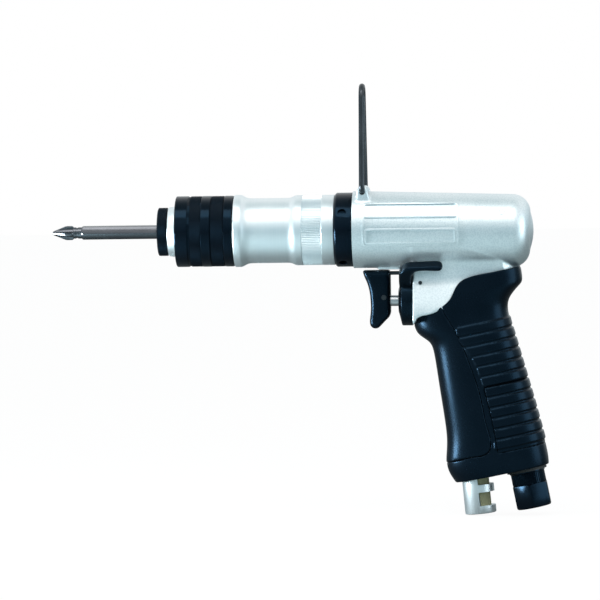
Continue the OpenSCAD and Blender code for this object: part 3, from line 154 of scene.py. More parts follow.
# %% Trees
class Tree:
    """The node tree of one material or world."""

    def __init__(self, owner):
        owner.use_nodes = True
        self.nodes = owner.node_tree.nodes
        self.links = owner.node_tree.links
        self.nodes.clear()

    def node(self, kind, settings=None, inputs=None, output=0):
        """Adds a node with its settings, then the values or links of its sockets."""
        made = self.nodes.new(kind)
        for name, value in (settings or {}).items():
            if name == "stops":
                self.set_stops(made.color_ramp.elements, value)
            else:
                setattr(made, name, value)
        for name, value in (inputs or {}).items():
            if isinstance(value, Socket):
                self.links.new(value.out, made.inputs[name])
            else:
                made.inputs[name].default_value = value
        return Socket(self, made.outputs[output]) if made.outputs else made

    def set_stops(self, ramp, stops):
        while len(ramp) < len(stops):
            ramp.new(1)
        for element, (place, colour) in zip(ramp, stops):
            element.position = place
            element.color = (*colour, 1)

    def place(self):
        """The point on the surface in the object's own axes, in metres."""
        return self.node("ShaderNodeTexCoord", output="Object")

    def stretched(self, scale):
        return self.node("ShaderNodeMapping", {}, {"Vector": self.place(), "Scale": scale})

    def noise(self, scale, detail, vector=None, rough=0.5):
        return self.node("ShaderNodeTexNoise", {}, {
            "Vector": vector or self.place(), "Scale": scale, "Detail": detail, "Roughness": rough,
        })

    def mix(self, factor, a, b):
        """A colour between two colours."""
        a, b = (colour if isinstance(colour, Socket) else (*colour, 1) for colour in (a, b))
        return self.node("ShaderNodeMix", {"data_type": "RGBA"}, {0: factor, 6: a, 7: b}, output=2)

    def bump(self, height, distance, strength):
        return self.node("ShaderNodeBump", {}, {
            "Strength": strength, "Distance": distance, "Height": height,
        })


# %% [markdown]
# ## Room
# Metal also needs a room to mirror. A picture of a studio could be wrapped round the scene, but a
# ramp over the height is easier to tune. Blue grey at eye level makes the darker band in the middle
# of the barrel, and pale above makes its upper half bright. The camera sees plain white instead, and
# the part of the room behind the tool is mirrored half white.

# %% Room
def ray_masks(tree):
    """Masks of the rays from the camera, and of mirrored rays and those through something clear."""
    direct = tree.node("ShaderNodeLightPath", output="Is Camera Ray")
    glossy = tree.node("ShaderNodeLightPath", output="Is Glossy Ray")
    clear = tree.node("ShaderNodeLightPath", output="Is Transmission Ray")
    return direct, glossy + clear


WHITE = (1, 1, 1)
SKY = [
    (0.0, (0.24, 0.28, 0.28)), (0.45, (0.16, 0.27, 0.32)), (0.51, (0.16, 0.29, 0.35)),
    (0.56, (0.30, 0.46, 0.52)), (0.68, (0.62, 0.73, 0.77)), (0.76, (0.92, 0.95, 0.96)),
    (0.90, (0.92, 0.95, 0.96)), (1.0, (0.40, 0.50, 0.52)),
]
BEHIND_FROM, BEHIND_FULL, BEHIND_SHARE = 0.35, 0.8, 0.5
world = bpy.data.worlds.new("room")
bpy.context.scene.world = world
room = Tree(world)
direction = room.node("ShaderNodeTexCoord", output="Generated")
height = room.node("ShaderNodeSeparateXYZ", {}, {"Vector": direction}, output="Z")
behind = room.node("ShaderNodeSeparateXYZ", {}, {"Vector": direction}, output="Y")
sky = room.node("ShaderNodeValToRGB", {"stops": SKY}, {"Fac": height * 0.5 + 0.5})
direct, mirrored = ray_masks(room)
white_share = direct + mirrored * behind.step(BEHIND_FROM, BEHIND_FULL) * BEHIND_SHARE
backdrop = room.mix(white_share, sky, WHITE)
background = room.node("ShaderNodeBackground", {}, {"Color": backdrop, "Strength": 1.0})
room.node("ShaderNodeOutputWorld", {}, {"Surface": background})
print("room:", len(room.nodes), "nodes")

# %% [markdown]
# ## Floor
# The tool floats just above a plain pale floor. A white floor would also light the lower half of the
# metal white, where the picture is darker. So the floor is white only to the camera. To the metal it
# is a grey sweep, with painted shade darkest under and behind the tool.

# %% Floor
def added(primitive, **settings):
    """Adds a primitive with nothing else selected, and puts its place and turn into its mesh."""
    bpy.ops.object.select_all(action="DESELECT")
    primitive(**settings)
    bpy.ops.object.transform_apply()
    return bpy.context.object


FLOOR_Z = cad_low.z - 0.4 * MM
# The darkest of these greys is painted shade, put on the floor under and behind the tool.
FAR_GREY, NEAR_GREY, PAINTED_SHADE_GREY = (0.20, 0.31, 0.34), (0.36, 0.47, 0.49), (0.06, 0.08, 0.08)
SHOWN_COLOUR, SHOWN_GLOW, MIRRORED_GLOW = (0.95, 0.95, 0.94), 0.94, 0.1
floor = added(bpy.ops.mesh.primitive_plane_add, size=8, location=(0.07, 1.2, FLOOR_Z))
floor.name = "floor"
floor_look = bpy.data.materials.new("pale_floor")
t = Tree(floor_look)
depth = t.node("ShaderNodeSeparateXYZ", {}, {"Vector": t.place()}, output="Y")
grey = t.mix(depth.step(-0.9, -0.25), FAR_GREY, NEAR_GREY)
# Painted shade: the floor turns darkest under and behind the tool, and the metal mirrors it.
grey = t.mix(depth.step(-0.12, 0.02), grey, PAINTED_SHADE_GREY)
direct, mirrored = ray_masks(t)
paint = t.node("ShaderNodeBsdfPrincipled", {}, {
    "Base Color": t.mix(direct, grey, SHOWN_COLOUR), "Roughness": 0.9, "Specular IOR Level": 0.1,
})
glow = t.node("ShaderNodeEmission", {}, {"Color": (*WHITE, 1), "Strength": 1.0})
glow_share = direct * SHOWN_GLOW + mirrored * MIRRORED_GLOW
surface = t.node("ShaderNodeMixShader", {}, {0: glow_share, 1: paint, 2: glow})
t.node("ShaderNodeOutputMaterial", {}, {"Surface": surface})
floor.data.materials.append(floor_look)
print("floor at, mm:", round(FLOOR_Z / MM, 1))

# %% [markdown]
# ## Metal finishes
# The housing is bead-blasted aluminium, the case and nose are turned aluminium, the rings are black
# steel, and the bit is ground steel. A painted picture could colour them, but it would need a flat
# layout of each piece. Noise on the object's own coordinates needs none, stays on the piece when it
# moves, and gives each finish its grain, a drift of tone and of roughness.

# %% Starting a finish
def finish(name, metallic, roughness, colour, gloss=None):
    """Starts a material and returns it with its tree and its Principled shader."""
    made = bpy.data.materials.new(name)
    tree = Tree(made)
    shader = tree.node("ShaderNodeBsdfPrincipled", {}, {
        "Metallic": metallic, "Roughness": roughness, "Base Color": (*colour, 1), **(gloss or {}),
    })
    tree.node("ShaderNodeOutputMaterial", {}, {"Surface": shader})
    return made, tree, shader


def wire(tree, shader, **inputs):
    """Links varying values to the shader's inputs."""
    for name, value in inputs.items():
        tree.links.new(value.out, shader.out.node.inputs[name.replace("_", " ")])


# %% Aluminium
def blasted_aluminium():
    """Bead-blasted casting: fine even grain, cloudy tone, a few darker handling marks."""
    made, t, shader = finish("blasted_aluminium", 0.9, 0.42, (0.7, 0.72, 0.74))
    grain = t.noise(5200, 2)
    cloud = t.noise(45, 3)
    marks = t.noise(160, 4, rough=0.65).step(0.62, 0.78)
    speckle = t.noise(1300, 3)
    tone = t.mix(cloud, (0.72, 0.81, 0.84), (0.88, 0.93, 0.94))
    tone = t.mix(marks * 0.18, tone, (0.50, 0.58, 0.62))
    tone = t.mix(speckle.step(0.42, 0.62) * 0.3, tone, (0.50, 0.60, 0.64))
    wire(t, shader, Base_Color=tone, Roughness=cloud * 0.10 + grain * 0.08 + 0.32,
         Normal=t.bump(grain * 0.5 + speckle * 0.5, 0.10 * MM, 0.6))
    return made


def turned_aluminium():
    """Lathe work: fine rings round the X axis, with a slow drift of tone."""
    low, high = (0.70, 0.79, 0.82), (0.90, 0.94, 0.95)
    made, t, shader = finish("turned_aluminium", 0.92, 0.32, low)
    rings = t.noise(1.0, 3, t.stretched((5200, 30, 30)))
    cloud = t.noise(55, 2)
    wire(t, shader, Base_Color=t.mix(rings * 0.5 + cloud * 0.5, low, high),
         Roughness=rings * 0.12 + cloud * 0.10 + 0.28, Normal=t.bump(rings, 0.03 * MM, 0.5))
    return made


# %% Steel
BLACK_GLOSS = {"Specular IOR Level": 0.22, "Specular Tint": (0.22, 0.58, 1.0, 1)}


def black_anodised():
    """Blackened steel: almost no colour of its own, and a smooth blue sheen."""
    made, t, shader = finish("black_anodised", 0.0, 0.26, (0.004, 0.006, 0.010), BLACK_GLOSS)
    cloud = t.noise(120, 3)
    fine = t.noise(3000, 2)
    wire(t, shader, Base_Color=t.mix(cloud, (0.001, 0.002, 0.003), (0.003, 0.004, 0.006)),
         Roughness=cloud * 0.08 + fine * 0.05 + 0.10, Normal=t.bump(fine, 0.02 * MM, 0.4))
    return made


def ground_steel(name, low, high, rough, stretch=(30, 900, 900)):
    """Ground or drawn steel with lines along the piece."""
    made, t, shader = finish(name, 1.0, rough, low)
    lines = t.noise(1.0, 3, t.stretched(stretch))
    cloud = t.noise(90, 2)
    wire(t, shader, Base_Color=t.mix(lines * 0.6 + cloud * 0.4, low, high),
         Roughness=lines * 0.14 + cloud * 0.08 + (rough - 0.1), Normal=t.bump(lines, 0.02 * MM, 0.4))
    return made


# %% [markdown]
# ## Plastic, rubber and the inner finishes
# The grip, the trigger and the lever are moulded in black, with a grain from the mould. A plain dark
# colour would look like a hole in the picture. The blue sheen and the grain bring the forms out. The
# pieces inside are seldom seen, so two tones and one grain are enough.

# %% Mouldings and inner finishes
def black_moulding(name, high, rough, grain_scale):
    """Moulded black plastic or rubber with a fine grain."""
    low = (0.001, 0.002, 0.003)
    made, t, shader = finish(name, 0.0, rough, low, BLACK_GLOSS)
    grain = t.noise(grain_scale, 2)
    cloud = t.noise(60, 3)
    wire(t, shader, Base_Color=t.mix(cloud, low, high),
         Roughness=cloud * 0.12 + grain * 0.1 + (rough - 0.1), Normal=t.bump(grain, 0.05 * MM, 0.4))
    return made


def plain_grain(name, low, high, rough, metallic=0.0, scale=700):
    """A quiet finish: two tones of one material and a fine grain."""
    made, t, shader = finish(name, metallic, rough, low)
    grain = t.noise(scale, 4)
    wire(t, shader, Base_Color=t.mix(grain, low, high), Roughness=grain * 0.2 + (rough - 0.1),
         Normal=t.bump(grain, 0.04 * MM, 0.5))
    return made


# %% One finish for each slot of the record
LOOKS = {
    "silver_casting": blasted_aluminium(),
    "silver_turned": turned_aluminium(),
    "black_metal": black_anodised(),
    "black_plastic": black_moulding("trigger_plastic", (0.003, 0.005, 0.007), 0.24, 2600),
    "grip_rubber": black_moulding("grip_rubber", (0.003, 0.005, 0.008), 0.25, 1800),
    "grip_plastic": black_moulding("grip_plastic", (0.003, 0.005, 0.008), 0.27, 2200),
    "inner_steel": ground_steel("ground_steel", (0.50, 0.51, 0.53), (0.68, 0.69, 0.70), 0.3),
    "bit_steel": ground_steel("bit_steel", (0.07, 0.073, 0.08), (0.19, 0.20, 0.22), 0.2),
    "dark_steel": ground_steel("dark_steel", (0.03, 0.035, 0.04), (0.09, 0.10, 0.11), 0.32, (400, 400, 60)),
    "bronze": plain_grain("bronze", (0.50, 0.36, 0.17), (0.62, 0.46, 0.24), 0.35, 1.0),
    "seal_rubber": plain_grain("seal_rubber", (0.02, 0.02, 0.02), (0.04, 0.04, 0.04), 0.6),
    "felt": plain_grain("olive_felt", (0.22, 0.21, 0.11), (0.42, 0.40, 0.24), 0.85, scale=1500),
    "vane_laminate": plain_grain("vane_laminate", (0.20, 0.12, 0.06), (0.34, 0.22, 0.12), 0.5),
}
for row in frame["record"]["subparts"]:
    materials = NODES[row["node"]].data.materials
    materials.clear()
    materials.append(LOOKS[row["material_slot"]])
print(len(LOOKS), "finishes on", len(NODES), "CAD nodes")

# %% [markdown]
# ## Modelling helpers
# By hand, one picks a piece, goes into edit mode, selects by eye and runs a tool. In code the eye is
# a test on the place of each vertex, edge or face. Operators act on all that is selected, so each
# helper first selects only its own piece.

# %% Selection and modifiers
def pick(obj):
    bpy.ops.object.select_all(action="DESELECT")
    obj.select_set(True)
    bpy.context.view_layer.objects.active = obj
    return obj


def modified(obj, kind, **settings):
    """Adds a modifier, sets it and applies it."""
    pick(obj)
    modifier = obj.modifiers.new(kind, kind)
    for name, value in settings.items():
        setattr(modifier, name, value)
    bpy.ops.object.modifier_apply(modifier=modifier.name)
    return obj


def combined(obj, other, operation):
    """Boolean of two pieces. The second one is used up."""
    modified(obj, "BOOLEAN", operation=operation, object=other, solver="EXACT")
    bpy.data.objects.remove(other)
    return obj


def bevelled(obj, width, segments, angle):
    """Rounds the edges that are sharper than an angle in degrees."""
    return modified(
        obj, "BEVEL", width=width * MM, segments=segments, limit_method="ANGLE",
        angle_limit=math.radians(angle), use_clamp_overlap=True,
    )


def softened(obj, voxel, rounds):
    """Remeshes a piece to an even skin and smooths it, which rounds all its corners."""
    modified(obj, "REMESH", mode="VOXEL", voxel_size=voxel * MM)
    return modified(obj, "SMOOTH", factor=0.5, iterations=rounds)


# %% Edit mode
def edited(obj, *steps):
    """Runs steps in edit mode."""
    pick(obj)
    bpy.ops.object.mode_set(mode="EDIT")
    for step in steps:
        step()
    bpy.ops.object.mode_set(mode="OBJECT")
    return obj


def choose(obj, kind, test):
    """Selects the vertices, edges or faces whose middle passes the test. Works in edit mode."""
    bpy.ops.mesh.select_mode(type=kind)
    bpy.ops.mesh.select_all(action="DESELECT")
    mesh = bmesh.from_edit_mesh(obj.data)
    for part in {"VERT": mesh.verts, "EDGE": mesh.edges, "FACE": mesh.faces}[kind]:
        corners = [part.co] if kind == "VERT" else [v.co for v in part.verts]
        if test(sum(corners, Vector()) / len(corners) / MM):
            part.select_set(True)
    mesh.select_flush_mode()
    bmesh.update_edit_mesh(obj.data)


def everything():
    bpy.ops.mesh.select_all(action="SELECT")


def outwards():
    """Merges doubles and turns all faces outwards."""
    everything()
    bpy.ops.mesh.remove_doubles(threshold=0.001 * MM)
    bpy.ops.mesh.normals_make_consistent(inside=False)


# %% Moving, copying, joining and finishing
def set_down(obj, place=(0, 0, 0), turn=(0, 0, 0)):
    """Turns a piece about the origin, in degrees, moves it, and puts both into its mesh."""
    obj.location = Vector(place) * MM
    obj.rotation_euler = [math.radians(angle) for angle in turn]
    pick(obj)
    bpy.ops.object.transform_apply()
    return obj


def copied(obj):
    """A copy of a piece with its own mesh."""
    pick(obj)
    bpy.ops.object.duplicate()
    return bpy.context.object


def joined(obj, other):
    """Puts two pieces into one mesh, as they are."""
    pick(obj)
    other.select_set(True)
    bpy.ops.object.join()
    return obj


def count(name, obj):
    """Prints how many faces a piece has."""
    print(name, len(obj.data.polygons), "faces")


def finished(obj, name, body, slot, stands_for, angle=35):
    """Names a piece, gives it its finish, its shading and its body, and hides the CAD nodes it stands for.
    """
    obj.name = obj.data.name = name
    pick(obj)
    bpy.ops.object.shade_smooth_by_angle(angle=math.radians(angle))
    obj.data.materials.clear()
    obj.data.materials.append(LOOKS[slot])
    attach(obj, body)
    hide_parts(*stands_for)
    count(name, obj)
    return obj


# %% [markdown]
# ## A lathe
# Most of this tool is turned. A profile could be spun round the axis, but the lathe here starts from
# a circle and extrudes it ring by ring, resizing each new ring. That gives even quads, which the
# knurls need. A ring-shaped piece has its ends bridged, and a full one has them capped.

# %% Lathe, boxes and rods
def turned(profile, sides=128, ends="ring", z=0.0):
    """A body of revolution about X at a height, from [(x, radius), ...]."""
    x, r = profile[0]
    obj = added(
        bpy.ops.mesh.primitive_circle_add, vertices=sides, radius=r * MM,
        location=(x * MM, 0, z * MM), rotation=(0, math.pi / 2, 0))

    def rings():
        bpy.ops.mesh.select_mode(type="EDGE")
        everything()
        for (x0, r0), (x1, r1) in zip(profile, profile[1:]):
            bpy.ops.mesh.extrude_region_move(TRANSFORM_OT_translate={"value": ((x1 - x0) * MM, 0, 0)})
            if r1 != r0:
                bpy.ops.transform.resize(value=(1, r1 / r0, r1 / r0), center_override=(x1 * MM, 0, z * MM))

    def close():
        if ends == "ring":
            bpy.ops.mesh.select_all(action="DESELECT")
            bpy.ops.mesh.select_non_manifold()
            bpy.ops.mesh.bridge_edge_loops()
        else:
            everything()
            bpy.ops.mesh.fill_holes(sides=0)
        outwards()

    return edited(obj, rings, close)


def box_piece(low, high):
    """A box between two corners."""
    low, high = Vector(low) * MM, Vector(high) * MM
    return added(bpy.ops.mesh.primitive_cube_add, size=1, location=(low + high) / 2, scale=high - low)


def cylinder(radius, length, middle, sides, turn=(0, 0, 0)):
    """A cylinder about its middle, upright unless it is turned."""
    return added(
        bpy.ops.mesh.primitive_cylinder_add, vertices=sides, radius=radius * MM, depth=length * MM,
        location=[v * MM for v in middle], rotation=turn)


def rod(radius, length, place, axis="X", sides=48):
    """A round bar that starts at a place and runs along an axis."""
    turn = {"X": (0, math.pi / 2, 0), "Y": (math.pi / 2, 0, 0), "Z": (0, 0, 0)}[axis]
    half = {"X": (0.5, 0, 0), "Y": (0, 0.5, 0), "Z": (0, 0, 0.5)}[axis]
    return added(
        bpy.ops.mesh.primitive_cylinder_add, vertices=sides, radius=radius * MM, depth=length * MM,
        rotation=turn, location=(Vector(place) + Vector(half) * length) * MM)


def hexagon_bar(flats, length, middle):
    """A hexagon bar on the X axis, from its size over the flats."""
    return cylinder(flats / 2 / math.cos(math.pi / 6), length, (middle, 0, 0), 6, (0, math.pi / 2, 0))


# %% [markdown]
# ## Knurls
# A diamond knurl is a field of small pyramids that a wheel presses into the metal. A bump texture
# would vanish at the rim, so it is modelled. On a fine grid of rings, every second point is lowered,
# like the black fields of a chessboard, and each quad is split along its shorter diagonal, which
# joins its two low points. A raised diamond stays round each high point. A straight knurl is simpler:
# its points go down and up in pairs round the rim.

# %% Knurls
def rows(x0, x1, r, count):
    return [(x0 + (x1 - x0) * i / count, r) for i in range(count + 1)]


def diamonds(obj, sides, x0, x1, count, depth):
    """Cuts diamonds into the rings from x0 to x1, which stand in count rows."""
    pitch = (x1 - x0) / count

    def low_point(p):
        row = (p.x - x0) / pitch
        side = round(math.atan2(p.y, p.z) / (2 * math.pi / sides))
        return -0.5 < row < count + 0.5 and (round(row) + side) % 2 == 1

    def lower():
        choose(obj, "VERT", low_point)
        share = 1 - depth / max(Vector((0, v.co.y, v.co.z)).length for v in obj.data.vertices) * MM
        bpy.ops.transform.resize(value=(1, share, share), center_override=(0, 0, 0))

    def split():
        choose(obj, "FACE", lambda p: x0 < p.x < x1)
        bpy.ops.mesh.quads_convert_to_tris(quad_method="SHORTEST_DIAGONAL")

    return edited(obj, lower, split)


def toothed_band(profile, teeth, x0, x1, share):
    """A ring whose points between x0 and x1 go down to a share of their radius in pairs."""
    band = turned(profile, sides=4 * teeth, ends="cap")

    def low_point(p):
        return x0 < p.x < x1 and round(math.atan2(p.y, p.z) / math.pi * 2 * teeth) % 4 < 2

    return edited(
        band,
        lambda: choose(band, "VERT", low_point),
        lambda: bpy.ops.transform.resize(value=(1, share, share), center_override=(0, 0, 0)),
    )


# %% [markdown]
# ## Release collar
# The black collar at the front slides forward to free the bit. It is a thick washer with a
# diamond knurl on its rim, and a smaller skirt that runs in the nose. A washer and a tube could be
# joined, but one turned profile gives both with no seam.

# %% Release collar
KNURL_DEPTH, KNURL_SHADE = 0.24, 12
COLLAR_SIDES = 120
collar = turned([
    (16, 7.6), (16, 8.4), (4.9, 8.4), (4.9, 11.2), (4.75, 11.7), *rows(4.5, 0.5, 12.1, 6),
    (0.2, 11.8), (0, 11.3), (0, 8.1), (0.3, 7.75), (8, 7.7), (8, 6.1), (13.4, 6.1), (13.4, 7.5),
], sides=COLLAR_SIDES)
diamonds(collar, COLLAR_SIDES, 0.5, 4.5, 6, KNURL_DEPTH)
finished(collar, "knurled_collar", "collar", "black_metal", ["release_collar"], KNURL_SHADE)

# %% [markdown]
# ## Torque sleeve
# The sleeve that sets the torque has three smooth bands and two knurled ones, parted by thin grooves.
# Five rings could be stacked, but it is one turned piece with the grooves in its profile, and the
# knurl is cut into two of its bands afterwards.

# %% Torque sleeve
SLEEVE_SIDES = 172
sleeve = turned([
    (38.1, 15.75), (38.1, 17.2), (37.95, 17.5), (37.6, 17.66), (37.3, 17.7), (33.95, 17.7),
    (33.75, 17.62), (33.6, 17.35), (33.35, 17.35), *rows(33.2, 27.3, 17.66, 9), (27.15, 17.35),
    (26.95, 17.35), (26.85, 17.62), (26.6, 17.7), (22.5, 17.7), (22.3, 17.62), (22.2, 17.35),
    (22.0, 17.35), *rows(21.9, 16.8, 17.66, 8), (16.65, 17.3), (15.6, 17.3), (15.5, 17.6),
    (15.3, 17.7), (9.95, 17.7), (9.6, 17.66), (9.35, 17.5), (9.2, 17.2), (9.2, 16.0), (9.5, 15.75),
], sides=SLEEVE_SIDES)
diamonds(sleeve, SLEEVE_SIDES, 16.8, 21.9, 8, KNURL_DEPTH)
diamonds(sleeve, SLEEVE_SIDES, 27.3, 33.2, 9, KNURL_DEPTH)
finished(sleeve, "knurled_torque_sleeve", "torque_sleeve", "black_metal", ["torque_sleeve"], KNURL_SHADE)

# %% [markdown]
# ## Nose and clutch case
# Both are turned from bar. The case has a rim against the sleeve, a slim waist that runs out in soft
# hollows, and a band of straight knurl for unscrewing it. Cutting the teeth one by one would be slow,
# so the band is a toothed ring joined to the case.

# %% Nose and clutch case
nose = turned([
    (28, 9.6), (28, 12.1), (14, 12.15), (14, 15.2), (11.2, 15.2), (11.1, 14.9), (9.4, 12.85), (9.0, 12.75),
    (5.7, 12.2), (5.4, 12.05), (5.2, 11.8), (5.2, 9.2), (5.5, 8.9), (28, 8.9),
])
finished(nose, "turned_nose", "tool", "silver_turned", ["nose"])
case = turned([
    (104, 14.3), (104, 15.5), (88.6, 15.5), (88.6, 17.1), (88.45, 17.4), (88.2, 17.5), (82.6, 17.5),
    (82.45, 17.42), (82.4, 17.15), (72.5, 17.15), (72.45, 17.42), (72.3, 17.5), (69.9, 17.5),
    (69.2, 17.42), (68.4, 17.2), (67.5, 16.8), (66.8, 16.48), (66, 16.28), (65, 16.2), (47.5, 16.2),
    (46.2, 16.25), (45.2, 16.4), (44.2, 16.75), (43.2, 17.25), (42.4, 17.7), (41.8, 17.93), (41.2, 18),
    (38.9, 18), (38.65, 17.93), (38.45, 17.75), (38.4, 17.5), (38.4, 14.4), (14, 14.4), (14, 12.2),
    (64, 12.25), (64.4, 14.25),
])
BAND_TEETH, TOOTH_SHARE = 124, 0.983
band = toothed_band(
    [(72.55, 17.1), (72.6, 17.25), (72.8, 17.45), (82.1, 17.45), (82.3, 17.25), (82.35, 17.1)],
    BAND_TEETH, 72.7, 82.2, TOOTH_SHARE)
joined(case, band)
finished(case, "turned_clutch_case", "tool", "silver_turned", ["clutch_case"], 28)

# %% [markdown]
# ## Lock ring
# The black ring locks the case to the housing, and a pin spanner turns it by four holes in its rim.
# Extruding the holes inwards would leave them with four sides, so they are drilled: a rod is cut out
# four times, turned further each time.

# %% Lock ring
HOLE_R, HOLE_X, HOLE_Z, HOLE_TURNS = 2.1, 92.9, 18.5, (61.3, 151.3, 241.3, 331.3)
ring = turned([
    (97.8, 15.6), (97.8, 18.1), (97.6, 18.4), (97.3, 18.5), (89.9, 18.5), (89.6, 18.42), (88.7, 17.5),
    (88.6, 17.2), (88.6, 15.6),
], sides=160)
for hole_turn in HOLE_TURNS:
    hole = cylinder(HOLE_R, 4, (HOLE_X, 0, HOLE_Z), 32)
    combined(ring, set_down(hole, turn=(hole_turn, 0, 0)), "DIFFERENCE")
bevelled(ring, 0.15, 2, 50)
finished(ring, "spanner_lock_ring", "tool", "black_metal", ["lock_ring"])

# %% [markdown]
# ## Bit
# A hexagon bar ends in a round neck and a cross point. The point could be shaped face by face, but a
# tool grinder turns a cone and grinds four flutes into it, and so does this cell: slanted rods are
# cut out of the cone, and the four wings that drive the screw are left.

# %% Bit
HEX_FLATS, BIT_ROLL, FLUTE_SLANT = 6.35, 10, 9
bit = turned([(21.5, 2.6), (20.7, 3.7), (-37.8, 3.7), (-38.75, 2.85)], sides=48, ends="cap")
combined(bit, bevelled(hexagon_bar(HEX_FLATS, 62, -9), 0.22, 2, 35), "INTERSECT")
point = turned([
    (-53.5, 0.35), (-53.3, 0.75), (-52.6, 1.15), (-47, 3.4), (-46.2, 3.55), (-43.6, 3.55), (-43.1, 3.3),
    (-42.75, 2.85), (-41.6, 2.85), (-41.5, 2.6), (-40.6, 2.6), (-40.5, 2.85), (-38.3, 2.85),
], sides=64, ends="cap")
for quarter in range(4):
    flute = added(
        bpy.ops.mesh.primitive_cone_add, vertices=24, radius1=2.4 * MM, radius2=0.7 * MM,
        depth=13 * MM, location=(0, 0, 0), rotation=(0, -math.pi / 2, 0))
    set_down(flute, (-49.5, 0, 3.15), (0, -FLUTE_SLANT, 0))
    combined(point, set_down(flute, turn=(90 * quarter + 45, 0, 0)), "DIFFERENCE")
combined(bit, point, "UNION")
bevelled(bit, 0.08, 1, 40)
set_down(bit, turn=(BIT_ROLL, 0, 0))
finished(bit, "cross_point_bit", "spindle", "bit_steel", ["bit"], 30)

# %% [markdown]
# ## Outlines and the handle's axes
# Mouldings and castings are drawn as side views rather than turned. A closed curve is given its width
# and rounded edges and made a mesh, which is quicker than extruding a face and bevelling it. The
# handle leans by 11 degrees, so its pieces are made upright and then set down on its own axes.

# %% Outlines
HANDLE_X, HANDLE_Z, HANDLE_LEAN = 150, -19.5, 11
GRIP_LEN, GRIP_DEPTH, GRIP_W = 104.7, 44, 33


def in_handle(obj):
    return set_down(obj, (HANDLE_X, 0, HANDLE_Z), (0, -HANDLE_LEAN, 0))


def side_outline(points, width, edge=0.0, smooth=True, y=0.0, corners=()):
    """A closed outline of (x, z) points in the side view, as wide as given and rounded at its edges.

    The points whose numbers are in corners stay sharp."""
    curve = bpy.data.curves.new("outline", "CURVE")
    curve.dimensions = "2D"
    curve.fill_mode = "BOTH"
    curve.resolution_u = 6
    curve.bevel_resolution = 3
    curve.extrude = (width / 2 - edge) * MM
    curve.bevel_depth = edge * MM
    curve.offset = -edge * MM
    line = curve.splines.new("BEZIER")
    line.bezier_points.add(len(points) - 1)
    for number, (knot, (x, z)) in enumerate(zip(line.bezier_points, points)):
        knot.co = (x * MM, z * MM, 0)
        kind = "AUTO" if smooth and number not in corners else "VECTOR"
        knot.handle_left_type = knot.handle_right_type = kind
    line.use_cyclic_u = True
    obj = bpy.data.objects.new("outline", curve)
    bpy.context.scene.collection.objects.link(obj)
    pick(obj)
    bpy.ops.object.convert(target="MESH")
    obj = edited(bpy.context.object, outwards)
    return set_down(obj, (0, y, 0), (90, 0, 0))


def plan_outline(points, z0, z1):
    """A closed outline of (x, y) points seen from above, between two heights."""
    flat = side_outline(points, z1 - z0, smooth=False)
    return set_down(flat, (0, 0, (z0 + z1) / 2), (90, 0, 0))


def arc(x, y, rx, ry, angles):
    """Points on an ellipse round a centre, at angles in degrees."""
    return [(x + rx * math.cos(math.radians(a)), y + ry * math.sin(math.radians(a))) for a in angles]


def region(shares, drop=0.0, smooth=True):
    """A side outline given as shares of the grip's depth and length, in the handle's axes."""
    points = [(t * GRIP_DEPTH, -s * GRIP_LEN - drop) for t, s in shares]
    outer = [number for number, (t, s) in enumerate(shares) if abs(t) > 0.7]
    return in_handle(side_outline(points, 90, smooth=smooth, corners=outer))


def stadium(front, rear, r, s0, s1):
    """An upright bar with round front and rear on the handle's axes, from depth s0 down to s1."""
    obj = cylinder(r, s1 - s0, (front, 0, -(s0 + s1) / 2), 64)
    return edited(
        obj,
        lambda: choose(obj, "VERT", lambda p: p.x > front - 0.01),
        lambda: bpy.ops.transform.translate(value=((rear - front) * MM, 0, 0)),
    )


# %% [markdown]
# ## Motor housing
# The housing is one aluminium casting: the barrel, the ears of the bail, the ledge above the trigger,
# the neck and the core of the handle. A casting has soft inner corners everywhere, and bevelling each
# one would take many clean edges. So the rough bodies are joined, remeshed to an even skin and
# smoothed, as a pattern maker fills the corners with wax.

# %% Barrel
BARREL_X, BARREL_LEN, BARREL_R, BARREL_REAR_R, DROOP = 97.8, 89.7, 19.25, 18.2, 1.05
REAR_ROUND, REAR_DOME, ROD_Z = 9, 1.6, -35.7


def on_barrel(profile):
    """A full turned body on the barrel's axis, which droops a little to the rear."""
    return set_down(turned(profile, ends="cap", sides=256), (BARREL_X, 0, 0), (0, DROOP, 0))


def barrel_skin(extra):
    return on_barrel([(0, BARREL_R + extra), (BARREL_LEN, BARREL_REAR_R + extra)])


def barrel_rear():
    """The rounded rear end, from the wall to the middle of the dome."""
    flat_r = BARREL_REAR_R - REAR_ROUND
    points = []
    for i in range(13):
        a = math.radians(90 * i / 12)
        x = BARREL_LEN - REAR_DOME - REAR_ROUND * (1 - math.sin(a))
        points.append((x, flat_r + REAR_ROUND * math.cos(a)))
    for share in (0.75, 0.5, 0.25, 0.05):
        points.append((BARREL_LEN - REAR_DOME * share ** 2, flat_r * share))
    return points


casting = on_barrel([(-1, BARREL_R), *barrel_rear()])
count("barrel:", casting)

# %% Neck
# The neck is where three outlines meet: its flank from the front, its plan from above, and the edge
# of the grip from the side. Then the ledge above the trigger is joined.
GRIP_EDGE = [
    (0.8, 0.05), (0.4, 0.05), (0.09, 0.052), (0.007, 0.062), (-0.052, 0.08), (-0.098, 0.104),
    (-0.141, 0.128), (-0.2, 0.149), (-0.273, 0.163), (-0.407, 0.173), (-0.56, 0.18), (-0.6, 0.2),
    (-0.8, 0.215),
]
NECK_X, NECK_MID_X, NECK_END_X, NECK_W = 127.3, 143, 180, 18
FLANK = [
    (17.9, -7), (16.7, -10), (14.4, -13), (11.8, -16), (11.0, -19), (10.9, -22), (11.2, -26), (12.4, -30),
    (13.9, -35), (15.2, -40), (16, -45), (16, -50),
]
TUCK = 1.5
front_view = [(14, 6), *FLANK, *[(-y, z) for y, z in reversed(FLANK)], (-14, 6)]
sharp = (0, len(FLANK), len(FLANK) + 1, len(front_view) - 1)
neck = set_down(side_outline(front_view, 90, corners=sharp), (150, 0, 0), (0, 0, 90))
rear_arc = arc(NECK_MID_X, 0, NECK_END_X - NECK_MID_X, NECK_W, range(-90, 91, 10))
